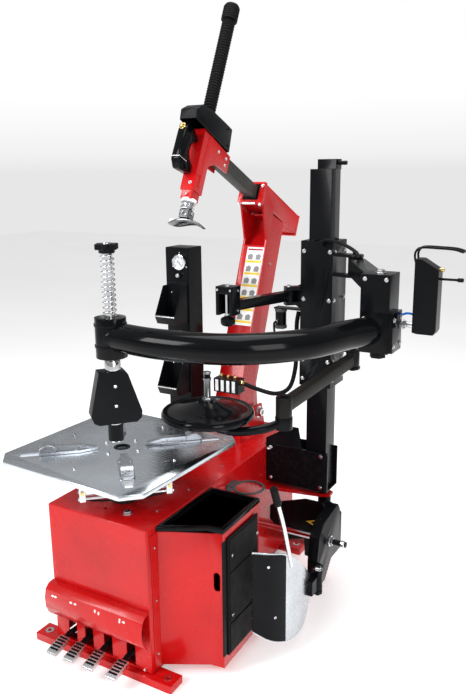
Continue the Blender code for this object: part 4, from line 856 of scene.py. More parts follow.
def column_label():
    """Instruction film on the column's face: a plain title bar and rows of grey blocks, with no words."""
    frame = COLUMN @ Matrix.Translation((0.012, -0.1622, 0.35)) @ Matrix.Rotation(math.pi / 2, 4, "X")
    piece(shape(add_label, ((-0.04, 0.0), (0.04, 0.0), (0.04, 0.345), (-0.04, 0.345)), frame),
        "column_label", WHITE_INK, "tilt_column")
    lift = frame @ Matrix.Translation((0, 0, LABEL_THICKNESS))
    piece(shape(add_label, ((-0.036, 0.331), (0.036, 0.331), (0.036, 0.338), (-0.036, 0.338)), lift,
        INK_THICKNESS), "column_label_title", RED_INK, "tilt_column")
    bands = bmesh.new()
    pictures = bmesh.new()
    for row in range(6):
        top = 0.32 - 0.053 * row
        add_label(bands, ((-0.038, top - 0.044), (0.038, top - 0.044), (0.038, top - 0.035),
            (-0.038, top - 0.035)), lift, INK_THICKNESS)
        for side in (-1, 1):
            x = side * 0.019
            add_label(pictures, ((x - 0.012, top - 0.03), (x + 0.01, top - 0.03), (x + 0.013, top - 0.012),
                (x + 0.002, top - 0.004), (x - 0.013, top - 0.01)), lift, INK_THICKNESS)
            add_label(bands, ((x - 0.015, top - 0.0335), (x + 0.015, top - 0.0335),
                (x + 0.015, top - 0.032), (x - 0.015, top - 0.032)), lift, INK_THICKNESS)
    piece(bands, "column_label_bands", YELLOW_INK, "tilt_column")
    piece(pictures, "column_label_pictures", GREY_INK, "tilt_column")


def column_details():
    """Bolts and guides of the arm's sleeve, and the column's pin."""
    refine("tilt_column", RED_COLUMN, 0.0022, 3)
    bm = bmesh.new()
    for x, z in ((-0.05, 0.853), (0.05, 0.853), (-0.05, 0.934), (0.05, 0.934)):
        add_hex_bolt(bm, (x, -0.266, z), Y_FRONT, 0.0055)
    for side in (-1, 1):
        for z in (0.1, 0.64):
            add_cap_screw(bm, (side * 0.057, -0.1, z), (side, 0, 0), 0.005)
    add_rod(bm, (-0.03, -0.268, 0.856), (0.03, -0.268, 0.856), 0.0055, 20)
    transform(bm, COLUMN)
    piece(bm, "sleeve_bolts", BOLT, "tilt_column")
    bm = bmesh.new()
    add_block(bm, (-0.036, -0.2685, 0.862), (-0.0268, -0.262, 0.932))
    add_block(bm, (0.0268, -0.2685, 0.862), (0.036, -0.262, 0.932))
    add_block(bm, (-0.036, -0.2685, 0.862), (0.036, -0.262, 0.87))
    add_block(bm, (-0.036, -0.2685, 0.924), (0.036, -0.262, 0.931))
    transform(bm, TOOL)
    piece(bm, "sleeve_guides", PLASTIC, "tilt_column", 0.0008)
    bm = bmesh.new()
    add_rod(bm, (-0.0785, 0, 0), (-0.0975, 0, 0), 0.02, 6, 0.0015)
    add_rod(bm, (0.0785, 0, 0), (0.0975, 0, 0), 0.02, 6, 0.0015)
    add_rod(bm, (-0.0975, 0, 0), (0.0975, 0, 0), 0.0125, 24, 0.002)
    add_rod(bm, (-0.08, 0, 0), (0.08, 0, 0), 0.015, 24)
    transform(bm, Matrix.Translation(joint_place("column_tilt")))
    piece(bm, "column_pin_fine", BOLT, nodes=("column_pin",))
    bm = bmesh.new()
    add_rod(bm, (-0.0785, 0, 0), (-0.08, 0, 0), 0.026, 32)
    add_rod(bm, (0.0785, 0, 0), (0.08, 0, 0), 0.026, 32)
    transform(bm, Matrix.Translation(joint_place("column_tilt")))
    piece(bm, "column_pin_washers", ZINC, "column_pin")


def tool_head():
    """Hood, handle, lock button and small parts of the head."""
    refine("tool_arm", ARM_GREY, 0.003, 3)
    bm = bmesh.new()
    side = ((-0.812, 0.938), (-0.818, 0.978), (-0.785, 1.01), (-0.7, 1.021), (-0.62, 1.024),
        (-0.567, 1.024), (-0.555, 0.932))
    add_prism(bm, side, "X", -0.038, 0.038)
    hood = bevel(new_object(bm, "head_hood_fine"), 0.006, 4, 20.0)
    apply_modifiers(hood)
    hollow = new_object(shape(add_prism, ((-0.809, 0.9), (-0.815, 0.9765), (-0.7835, 1.0072), (-0.7, 1.018),
        (-0.62, 1.021), (-0.5697, 1.021), (-0.5585, 0.9)), "X", -0.035, 0.035), "cutter")
    bm = bmesh.new()
    add_rod(bm, (0, SHAFT_Y, 0.96), (0, SHAFT_Y, 1.1), 0.0225, 40)
    cut(hood, hollow, new_object(bm, "cutter"))
    hood.data.transform(TOOL)
    place_piece(hood, PLASTIC, nodes=("head_hood",))
    bm = bmesh.new()
    for x in (-0.0382, 0.0382):
        side = 1 if x > 0 else -1
        for y, z in ((-0.78, 0.96), (-0.58, 0.95), (-0.6, 1.008)):
            add_cap_screw(bm, (x, y, z), (side, 0, 0), 0.0032)
    transform(bm, TOOL)
    piece(bm, "hood_screws", BLACK, "head_hood")
    turned_piece("hood_gland", ((0.0225, 1.0215), (0.03, 1.0215), (0.029, 1.0265), (0.0225, 1.028)),
        TOOL @ Matrix.Translation((0, SHAFT_Y, 0)), DARK_RUBBER, "head_hood")

    refine("head_body", RED, 0.0016, 3)
    turned_piece("wiper_ring", ((0.0202, 0.6685), (0.0284, 0.6685), (0.029, 0.67), (0.029, 0.679),
        (0.028, 0.6805), (0.0202, 0.6805)), TOOL @ Matrix.Translation((0, SHAFT_Y, 0)), WHITE_RING,
        "head_body")
    bm = bmesh.new()
    for side in (-1, 1):
        for y, z in ((-0.56, 0.905), (-0.56, 0.878), (-0.62, 0.905)):
            add_hex_bolt(bm, (side * 0.031, y, z), (side, 0, 0), 0.005)
    add_hex_bolt(bm, (0.01, -0.728, 0.735), Y_FRONT, 0.0055)
    add_cap_screw(bm, (0.0, -0.722, 0.692), Y_FRONT, 0.0045)
    add_rod(bm, (-0.0225, -0.7, 0.694), (-0.036, -0.704, 0.692), 0.0042, 14, 0.001)
    transform(bm, TOOL)
    piece(bm, "head_bolts", BOLT, "head_body")
    bm = bmesh.new()
    for x in (-0.0285, 0.0285):
        add_block(bm, (x - 0.0015, -0.7315, 0.77), (x + 0.0015, -0.7, 0.935))
    transform(bm, TOOL)
    piece(bm, "head_edge_strips", RED, "head_body", 0.0006)

    bm = bmesh.new()
    face = -0.7285
    grip = ((face, 0.905), (-0.76, 0.925), (-0.806, 0.925), (-0.818, 0.9), (-0.822, 0.785), (-0.8, 0.757),
        (face, 0.766), (face, 0.8), (-0.752, 0.812), (-0.766, 0.84), (-0.757, 0.88), (face, 0.887))
    add_prism(bm, grip, "X", -0.03, 0.006)
    handle = new_object(bm, "head_handle_fine")
    bevel(handle, 0.0065, 4, 20.0)
    apply_modifiers(handle)
    cut(handle, new_object(shape(add_rod, (-0.012, -0.85, 0.911), (-0.012, -0.782, 0.911), 0.0095, 32),
        "cutter"))
    handle.data.transform(TOOL)
    place_piece(handle, GLOSS_BLACK, nodes=("head_handle",))
    piece(shape(add_block, (-0.0306, -0.8229, 0.7935), (0.0066, -0.77, 0.7985), matrix=TOOL), "handle_band",
        BOLT, "head_handle", 0.002)
    front = TOOL @ Matrix.Translation((-0.012, 0, 0.911)) @ Matrix.Rotation(math.pi / 2, 4, "X")
    turned_piece("lock_button_fine", ((0.0, 0.786), (0.009, 0.786), (0.009, 0.8215), (0.0075, 0.8255),
        (0.004, 0.8275), (0.0, 0.828)), front, BRASS, nodes=("lock_button",))
    turned_piece("button_bezel", ((0.0096, 0.812), (0.0125, 0.812), (0.0125, 0.8195), (0.011, 0.821),
        (0.0096, 0.821)), front, BRASS, "head_handle")
    low = TOOL @ Matrix.Translation((-0.018, 0, 0.893)) @ Matrix.Rotation(math.pi / 2, 4, "X")
    turned_piece("air_coupling", ((0.0, 0.727), (0.0078, 0.727), (0.0078, 0.733), (0.0055, 0.735),
        (0.0055, 0.744), (0.007, 0.745), (0.007, 0.75), (0.0, 0.752)), low, BRASS, "head_body", 24)




def tool_shaft():
    """Tool shaft, its bellows and the mount head."""
    piece(shape(add_rod, (0, SHAFT_Y, 0.642), (0, SHAFT_Y, 1.405), 0.0189, 6, matrix=TOOL), "shaft_bar",
        CHROME, width=0.0008, nodes=("tool_shaft",))
    centre = TOOL @ Matrix.Translation((0, SHAFT_Y, 0))
    turned_piece("shaft_collar", ((0.012, 0.64), (0.0225, 0.64), (0.0255, 0.643), (0.0255, 0.65),
        (0.0225, 0.6525), (0.0225, 0.656), (0.026, 0.6585), (0.026, 0.666), (0.024, 0.668), (0.012, 0.668)),
        centre, CHROME, "tool_shaft")
    cap = [(0.0, 1.404), (0.02, 1.404)]
    ribs = 7
    for rib in range(ribs):
        start = 1.404 + 0.0575 * rib / ribs
        cap += [(0.0312, start + 0.0008), (0.0318, start + 0.003), (0.0312, start + 0.0052),
            (0.0285, start + 0.0062)]
    cap += [(0.029, 1.463), (0.0262, 1.4675), (0.0, 1.469)]
    turned_piece("shaft_cap", cap, centre, DARK_RUBBER, "tool_shaft")
    boot = [(0.0196, 1.0247)]
    folds = 34
    for fold in range(folds):
        start = 1.0247 + 0.3776 * fold / folds
        boot += [(0.0212, start + 0.0004), (0.0247, start + 0.0036), (0.0257, start + 0.0055),
            (0.0247, start + 0.0074)]
    boot += [(0.0212, 1.4022), (0.0196, 1.4023)]
    bellows = turned_piece("shaft_bellows_fine", boot, centre, DARK_RUBBER, nodes=("shaft_bellows",))
    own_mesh(bellows)

    piece(shape(add_block, (-0.02, SHAFT_Y - 0.018, 0.606), (0.02, SHAFT_Y + 0.026, 0.6397), matrix=TOOL),
        "mount_block", HEAD_STEEL, width=0.004, segments=3, nodes=("mount_head",))
    rows = ((-0.082, 0.59, 0.594, 0.012), (-0.066, 0.5855, 0.594, 0.026), (-0.04, 0.585, 0.6005, 0.034),
        (-0.014, 0.5885, 0.6075, 0.034), (0.014, 0.5925, 0.6085, 0.032), (0.04, 0.59, 0.6035, 0.027),
        (0.06, 0.5835, 0.5965, 0.02), (0.072, 0.5765, 0.587, 0.014), (0.082, 0.576, 0.5825, 0.009))
    bm = bmesh.new()
    rings = []
    for x, low, high, reach in rows:
        centre_y = SHAFT_Y + 0.01 + 0.35 * (abs(x) / 0.08) ** 2 * 0.03
        ring = [bm.verts.new((x, centre_y - reach, low + 0.002)), bm.verts.new((x, centre_y, low - 0.0005)),
            bm.verts.new((x, centre_y + reach, low + 0.002)), bm.verts.new((x, centre_y + reach * 0.9,
            high - 0.002)), bm.verts.new((x, centre_y, high)), bm.verts.new((x, centre_y - reach * 0.9,
            high - 0.002))]
        rings.append(ring)
    add_loft(bm, rings)
    bmesh.ops.recalc_face_normals(bm, faces=bm.faces)
    transform(bm, TOOL)
    foot = new_object(bm, "mount_foot")
    rounding = foot.modifiers.new("Rounding", "SUBSURF")
    rounding.levels = 2
    rounding.render_levels = 2
    apply_modifiers(foot)
    place_piece(foot, HEAD_STEEL, "mount_head")
    bm = bmesh.new()
    add_cap_screw(bm, (0.02, SHAFT_Y + 0.004, 0.627), (1, 0, 0), 0.006)
    add_cap_screw(bm, (-0.004, SHAFT_Y - 0.018, 0.627), Y_FRONT, 0.006)
    add_cap_screw(bm, (0.012, SHAFT_Y - 0.018, 0.616), Y_FRONT, 0.004)
    transform(bm, TOOL)
    piece(bm, "mount_screws", BOLT, "mount_head")
    piece(shape(add_turned, ((0.0, 0.0), (0.01, 0.0), (0.013, 0.004), (0.013, 0.01), (0.01, 0.014),
        (0.0, 0.014)), TOOL @ Matrix.Translation((-0.062, SHAFT_Y + 0.014, 0.5945)), 28), "mount_roller",
        WHITE_RING, "mount_head")


column_label()
column_details()
tool_head()
tool_shaft()


# ---------------------------------------------------------------- turntable, jaws and clamping cylinders
def table_top():
    """Turntable plate and its middle."""
    side, trim = 0.3, 0.052
    outline = []
    for corner in range(4):
        turn = Matrix.Rotation(corner * math.pi / 2, 2)
        for point in ((side, side - trim), (side - trim, side)):
            outline.append(tuple(turn @ Vector(point)))
    plate = bevel(new_object(shape(add_prism, outline, "Z", 0.726, 0.742), "turntable_plate_fine"), 0.0022,
        3)
    apply_modifiers(plate)
    cutters = []
    for corner in range(4):
        bm = bmesh.new()
        add_block(bm, (0.105, -0.013, 0.7), (0.335, 0.013, 0.76))
        transform(bm, Matrix.Rotation(math.pi / 4 + corner * math.pi / 2, 4, "Z"))
        cutters.append(new_object(bm, "cutter"))
    bm = bmesh.new()
    add_rod(bm, (0, 0, 0.7), (0, 0, 0.76), 0.02, 40)
    cutters.append(new_object(bm, "cutter"))
    cut(plate, *cutters)
    turn = TABLE @ Matrix.Rotation(-math.pi / 4, 4, "Z")
    plate.data.transform(turn)
    place_piece(plate, TABLE_STEEL, nodes=("turntable_plate",))
    bm = bmesh.new()
    for corner in range(4):
        spin = turn @ Matrix.Rotation(corner * math.pi / 2, 4, "Z")
        part = bmesh.new()
        add_cap_screw(part, (0.07, 0.0, 0.742), Z_UP, 0.0055)
        add_cap_screw(part, (0.225, 0.0, 0.742), Z_UP, 0.005)
        transform(part, spin)
        merge(bm, part)
    piece(bm, "table_screws", BOLT, "turntable_plate")
    turned_piece("table_centre_ring", ((0.0195, 0.736), (0.0285, 0.736), (0.0285, 0.7424), (0.027, 0.7432),
        (0.0195, 0.7432)), turn, BLACK, "turntable_plate")
    turned_piece("hub_flange", ((0.034, 0.6), (0.06, 0.612), (0.078, 0.64), (0.08, 0.7), (0.076, 0.7255),
        (0.034, 0.7255)), turn, CASTING, "turntable_hub")


def clamp_jaws():
    """The four sliding clamp jaws."""
    for index in range(4):
        along = joint_axis(f"jaw_{index + 1}_slide")
        node = f"jaw_{index + 1}"
        frame_matrix = Matrix((along, Z_UP.cross(along), Z_UP)).transposed().to_4x4()
        low, high = local_box(node, frame_matrix)
        middle = (low.x + high.x) / 2
        place = frame_matrix @ Matrix.Translation((middle, (low.y + high.y) / 2, 0.7424))
        half = (high.x - low.x) / 2
        bm = bmesh.new()
        outline = ((-half, -0.004), (-half + 0.058, -0.0235), (half - 0.004, -0.0235), (half, -0.019),
            (half, 0.019), (half - 0.004, 0.0235), (-half + 0.058, 0.0235), (-half, 0.004))
        add_prism(bm, outline, "Z", 0.0, 0.0085)
        transform(bm, place)
        piece(bm, f"jaw_slide_{index + 1}", JAW_STEEL, width=0.0015, segments=3, nodes=(node,))
        piece(shape(add_prism, ((-half + 0.006, 0.0085), (-half + 0.05, 0.0085), (-half + 0.07, 0.0085),
            (half - 0.052, 0.0085), (half - 0.052, 0.0235), (-half + 0.06, 0.0225),
            (-half + 0.008, 0.0095)), "Y", -0.0125, 0.0125, matrix=place), f"jaw_wedge_{index + 1}",
            JAW_STEEL, node, 0.002, 3)
        piece(shape(add_prism, ((half - 0.054, 0.0085), (half - 0.001, 0.0085), (half - 0.001, 0.021),
            (half - 0.006, 0.0245), (half - 0.02, 0.033), (half - 0.03, 0.0338), (half - 0.044, 0.03),
            (half - 0.054, 0.024)), "Y", -0.0205, 0.0205, matrix=place), f"jaw_claw_{index + 1}", JAW_STEEL,
            node, 0.0022, 3)
        bm = bmesh.new()
        for step in range(4):
            x = half - 0.0245 + 0.0048 * step
            add_block(bm, (x, -0.0185, 0.0262 - 0.0034 * step + 0.003),
                (x + 0.0022, 0.0185, 0.0262 - 0.0034 * step + 0.0052))
        transform(bm, place)
        piece(bm, f"jaw_teeth_{index + 1}", BOLT, node)
        bm = bmesh.new()
        for y in (-0.0165, 0.0165):
            for x in (-half + 0.075, half - 0.07):
                add_cap_screw(bm, (x, y, 0.0085), Z_UP, 0.0032)
        add_block(bm, (-0.045, -0.0118, -0.02), (-0.005, 0.0118, 0.002))
        transform(bm, place)
        piece(bm, f"jaw_screws_{index + 1}", BOLT, node)


def clamp_cylinders():
    """The two clamp cylinders under the table."""
    for index in range(2):
        node, angle = f"clamp_cylinder_{index + 1}", math.radians(-45.0) + index * math.pi
        turn = TABLE @ Matrix.Rotation(-math.pi / 4 + angle, 4, "Z")
        centre, height = 0.128, 0.664
        piece(shape(add_rod, (centre, -0.131, height), (centre, 0.131, height), 0.0305, 40, matrix=turn),
            f"cylinder_tube_{index + 1}", ALUMINIUM, nodes=(node,))
        bm = bmesh.new()
        for end in (-1, 1):
            low, high = sorted((end * 0.129, end * 0.149))
            add_block(bm, (centre - 0.036, low, height - 0.036), (centre + 0.036, high, height + 0.036))
            add_block(bm, (centre - 0.014, low + 0.002, height + 0.03),
                (centre + 0.014, high - 0.002, 0.7257))
        transform(bm, turn)
        piece(bm, f"cylinder_ends_{index + 1}", ALUMINIUM, node, 0.0025, 3)
        bm = bmesh.new()
        for across in (-1, 1):
            for up in (-1, 1):
                x, z = centre + across * 0.0275, height + up * 0.0275
                add_rod(bm, (x, -0.131, z), (x, 0.131, z), 0.0038, 12)
                for end in (-1, 1):
                    add_cap_screw(bm, (x, end * 0.149, z), (0, end, 0), 0.0048)
        add_rod(bm, (centre, 0.125, height), (centre, 0.1495, height), 0.01, 20)
        transform(bm, turn)
        piece(bm, f"cylinder_ties_{index + 1}", BOLT, node)
        bm = bmesh.new()
        for end in (-1, 1):
            x, y, z = centre + 0.036, end * 0.139, height - 0.004
            add_rod(bm, (x, y, z), (x + 0.01, y, z), 0.006, 14)
        transform(bm, turn)
        piece(bm, f"cylinder_fittings_{index + 1}", BRASS, node)
        bm = bmesh.new()
        x, z = centre + 0.008, height - 0.038
        route = ((x, -0.139, z + 0.004), (x + 0.004, -0.1, z - 0.006), (x + 0.002, 0.0, z - 0.012),
            (x + 0.004, 0.1, z - 0.006), (x, 0.139, z + 0.004))
        add_pipe(bm, smooth_route(route, 8), 0.0032, 10)
        transform(bm, turn)
        piece(bm, f"cylinder_tube_line_{index + 1}", DARK_RUBBER, node)


table_top()
clamp_jaws()
clamp_cylinders()


# ---------------------------------------------------------------- helper post, arms and the parts they carry
POST = Vector((0.4255, 0.7175, 0.0))
PRESS_ROD = Vector((0.157, -0.216, 0.0))


def post_and_carriage():
    """Helper post, lift carriage, lock cylinder and the hoses there."""
    refine("helper_post", BLACK, 0.0035, 3)
    refine("lift_carriage", BLACK, 0.0018, 3)
    refine("post_bracket", BLACK, 0.0016, 3)
    front, right = 0.65, 0.4895
    bm = bmesh.new()
    for z in (1.36, 1.18, 0.945, 0.87):
        for x in (0.374, 0.477):
            add_hex_bolt(bm, (x, front, z), Y_FRONT, 0.006)
        for y in (0.668, 0.768):
            add_hex_bolt(bm, (right, y, z), X_RIGHT, 0.006)
    for z in (1.315, 0.97):
        add_hex_bolt(bm, (0.575, 0.655, z + 0.0475), Z_UP, 0.0095)
    add_hex_bolt(bm, (0.318, 0.64, 1.225), Z_UP, 0.008)
    piece(bm, "carriage_bolts", BOLT, "lift_carriage")
    bm = bmesh.new()
    for x, y in ((0.23, 0.6645), (0.45, 0.6645)):
        for z in (0.42, 0.552):
            add_hex_bolt(bm, (x, y, z), Y_FRONT, 0.0065)
    add_hex_bolt(bm, (0.25, 0.61, 0.5692), Z_UP, 0.0075)
    piece(bm, "bracket_bolts", BOLT, "post_bracket")
    for name, side in (("wear_strip_left", -1), ("wear_strip_right", 1)):
        piece(shape(add_block, (POST.x + side * 0.0215 - 0.011, 0.6515, 1.3975),
            (POST.x + side * 0.0215 + 0.011, 0.6745, 1.4015)), name, PLASTIC, "lift_carriage", 0.001)

    lock = Vector((0.262, 0.688, 0.0))
    piece(shape(add_rod, lock + Z_UP * 1.062, lock + Z_UP * 1.118, 0.0215, 32), "lock_cylinder",
        GLOSS_BLACK, "lift_carriage")
    bm = bmesh.new()
    for low in (1.05, 1.116):
        add_rod(bm, lock + Z_UP * low, lock + Z_UP * (low + 0.013), 0.024, 32, 0.002)
    piece(bm, "lock_cylinder_ends", CASTING, "lift_carriage")
    bm = bmesh.new()
    for x in (-0.012, 0.012):
        add_cap_screw(bm, lock + Vector((x, -0.006, 1.05)), -Z_UP, 0.0034)
    add_rod(bm, lock + Vector((-0.004, -0.021, 1.082)), lock + Vector((-0.004, -0.034, 1.082)), 0.0052, 16,
        0.001)
    piece(bm, "lock_cylinder_fittings", BOLT, "lift_carriage")
    piece(shape(add_block, (0.24, 0.668, 1.1285), (0.362, 0.708, 1.1345)), "lock_cylinder_bracket", BLACK,
        "lift_carriage", 0.0012)
    bm = bmesh.new()
    add_prism(bm, ((0.362, 1.13), (0.362, 1.236), (0.296, 1.207), (0.29, 1.173)), "Y", 0.672, 0.69)
    add_prism(bm, ((0.362, 1.142), (0.362, 1.23), (0.318, 1.212), (0.318, 1.168)), "Y", 0.66, 0.7)
    piece(bm, "roller_root_gusset", BLACK, "lift_carriage", 0.0025, 3)

    def hose(name, route, radius, material, slot):
        """A round hose along a smoothed route."""
        bm = bmesh.new()
        add_pipe(bm, smooth_route(route, 10), radius, 14)
        return piece(bm, name, material, slot)
    hose("lock_hose", ((0.258, 0.654, 1.082), (0.256, 0.64, 1.072), (0.262, 0.646, 1.02),
        (0.29, 0.668, 1.0), (0.33, 0.69, 1.02), (0.3625, 0.7, 1.05)), 0.0042, DARK_RUBBER, "lift_carriage")
    for shift in (0.0, 0.014):
        hose(f"carriage_top_hose_{1 if shift else 0}", ((0.452, 0.652 - shift, 1.384),
            (0.462, 0.632 - shift, 1.404), (0.5, 0.618 - shift, 1.408), (0.548, 0.622 - shift, 1.392),
            (0.59, 0.612 - shift, 1.372), (0.612, 0.59 - shift, 1.352)), 0.0045, DARK_RUBBER,
            "lift_carriage")

    bm = bmesh.new()
    points = [Vector(point) for point in ((0.115, 0.64, 0.815), (0.18, 0.64, 0.8), (0.262, 0.642, 0.792),
        (0.318, 0.65, 0.822), (0.338, 0.662, 0.9), (0.336, 0.676, 1.0), (0.33, 0.69, 1.075),
        (0.333, 0.7, 1.12))]
    add_pipe(bm, smooth_route(points, 14), 0.0085, 18)
    line = piece(bm, "air_hose_fine", DARK_RUBBER, nodes=("air_hose",), rides=False)
    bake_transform(line)
    turned_piece("air_hose_nut", ((0.0, 0.0), (0.0115, 0.0), (0.0115, 0.01), (0.0095, 0.013), (0.0, 0.013)),
        axis_frame((0.111, 0.64, 0.816), (0.13, 0.64, 0.813)), BRASS, "air_hose", 6)


def press_arm_and_rod():
    """Press arm, its link, and the rod with spring, knob and pad."""
    refine("press_link", BLACK, 0.005, 4)
    refine("press_arm", GLOSS_BLACK, 0.0012, 2)
    bm = bmesh.new()
    route = [Vector(point) for point in ((0.157, -0.216, 1.19), (0.346, -0.236, 1.19),
        (0.546, -0.196, 1.19), (0.69, -0.062, 1.19), (0.757, 0.11, 1.19), (0.79, 0.18, 1.19))]
    add_pipe(bm, smooth_route(route, 14)[3:], 0.0428, 48)
    piece(bm, "press_tube", GLOSS_BLACK, "press_arm")
    bm = bmesh.new()
    for z in (1.15, 1.228):
        for y in (0.19, 0.254):
            add_hex_bolt(bm, (0.868, y, z), X_RIGHT, 0.006)
    for z in (1.15, 1.228):
        add_hex_bolt(bm, (0.78, 0.178, z), Y_FRONT, 0.005)
    piece(bm, "press_arm_bolts", BOLT, "press_arm")
    bm = bmesh.new()
    for x in (0.78, 0.844):
        add_hex_bolt(bm, (x, 0.178, 1.345), Y_FRONT, 0.005)
    add_hex_bolt(bm, (0.812, 0.222, 1.359), Z_UP, 0.013)
    piece(bm, "press_link_bolts", BOLT, "press_link")
    for number, (low, height) in enumerate(((1.16, 0.006), (1.222, 0.006))):
        turned_piece(f"sleeve_band_{number}", ((0.046, low), (0.0482, low), (0.0482, low + height),
            (0.046, low + height)), Matrix.Translation(PRESS_ROD), BLACK, "press_arm")

    centre = Matrix.Translation(PRESS_ROD)
    turned_piece("press_rod_fine", ((0.0, 0.869), (0.02, 0.869), (0.0215, 0.871), (0.0215, 0.926),
        (0.014, 0.9275), (0.014, 1.088), (0.022, 1.0885), (0.0235, 1.09), (0.0235, 1.118), (0.022, 1.12),
        (0.014, 1.12), (0.014, 1.4385), (0.0, 1.439)), centre, CHROME, nodes=("press_rod",))
    turned_piece("press_roller", ((0.022, 0.872), (0.0225, 0.872), (0.0225, 0.924), (0.022, 0.924)), centre,
        PLASTIC, "press_rod")
    coils, coil_steps, low, high = 12, 22, 1.25, 1.426
    steps = coils * coil_steps
    points = []
    for step in range(steps + 1):
        angle = 2 * math.pi * coils * step / steps
        points.append(PRESS_ROD + Vector((0.0183 * math.cos(angle), 0.0183 * math.sin(angle),
            low + (high - low) * step / steps)))
    spring = piece(shape(add_pipe, points, 0.0026, 10), "press_spring_fine", BOLT, nodes=("press_spring",))
    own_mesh(spring)
    bm = bmesh.new()
    outline = []
    for step in range(90):
        angle = 2 * math.pi * step / 90
        radius = 0.031 + 0.0043 * math.cos(6 * angle)
        outline.append((PRESS_ROD.x + radius * math.cos(angle), PRESS_ROD.y + radius * math.sin(angle)))
    add_prism(bm, outline, "Z", 1.44, 1.457)
    piece(bm, "press_knob_fine", PLASTIC, width=0.0025, segments=3, nodes=("press_knob",))
    turned_piece("press_knob_boss", ((0.0145, 1.43), (0.0215, 1.43), (0.023, 1.432), (0.023, 1.4402),
        (0.0145, 1.4402)), centre, PLASTIC, "press_knob")
    turned_piece("press_knob_cap", ((0.0, 1.4568), (0.0105, 1.4568), (0.01, 1.4585), (0.0, 1.4588)), centre,
        BOLT, "press_knob")
    refine("press_pad", PLASTIC, 0.005, 4)
    bm = bmesh.new()
    turn = Matrix.Translation((PRESS_ROD.x, PRESS_ROD.y, 0)) @ Matrix.Rotation(math.radians(50), 4, "Z")
    for z in (0.985, 1.045):
        add_cap_screw(bm, (0.0, -0.026, z), Y_FRONT, 0.005)
    transform(bm, turn)
    piece(bm, "press_pad_screws", BOLT, "press_pad")


def control():
    """Control box with its hooks, lever and air line."""
    bm = bmesh.new()
    left = 0.905
    add_prism(bm, ((left, 1.185), (0.92, 1.182), (0.968, 1.182), (0.975, 1.195), (0.975, 1.372),
        (0.925, 1.402), (left, 1.402)), "Y", 0.24, 0.29)
    piece(bm, "control_case", BLACK, width=0.0035, segments=4, nodes=("control_box",))
    bm = bmesh.new()
    for y in (0.248, 0.282):
        route = ((0.912, y, 1.375), (0.903, y, 1.405), (0.906, y, 1.424), (0.922, y, 1.434),
            (0.97, y, 1.434), (1.012, y, 1.432), (1.036, y, 1.426))
        add_pipe(bm, smooth_route(route, 8), 0.0033, 12)
    add_pipe(bm, [Vector((1.036, 0.248, 1.426)), Vector((1.038, 0.265, 1.4255)),
        Vector((1.036, 0.282, 1.426))], 0.0033, 12)
    piece(bm, "control_hooks", GLOSS_BLACK, "control_box")
    bm = bmesh.new()
    add_rod(bm, (0.97, 0.265, 1.345), (1.034, 0.265, 1.345), 0.0036, 16)
    add_rod(bm, (1.022, 0.265, 1.345), (1.04, 0.265, 1.345), 0.006, 16, 0.002)
    piece(bm, "control_lever", PLASTIC, "control_box")
    piece(shape(add_rod, (0.972, 0.262, 1.372), (0.986, 0.262, 1.372), 0.0055, 18, 0.001),
        "control_fitting", BRASS, "control_box")
    bm = bmesh.new()
    route = ((0.868, 0.262, 1.232), (0.885, 0.262, 1.238), (0.906, 0.262, 1.236))
    add_pipe(bm, smooth_route(route, 8), 0.0036, 12)
    piece(bm, "blue_air_line", BLUE_TUBE, "press_arm")
    bm = bmesh.new()
    add_rod(bm, (0.868, 0.256, 1.205), (0.905, 0.256, 1.205), 0.0088, 24)
    add_hex_bolt(bm, (0.876, 0.256, 1.205), X_RIGHT, 0.012)
    piece(bm, "control_stalk", BOLT, "press_arm")


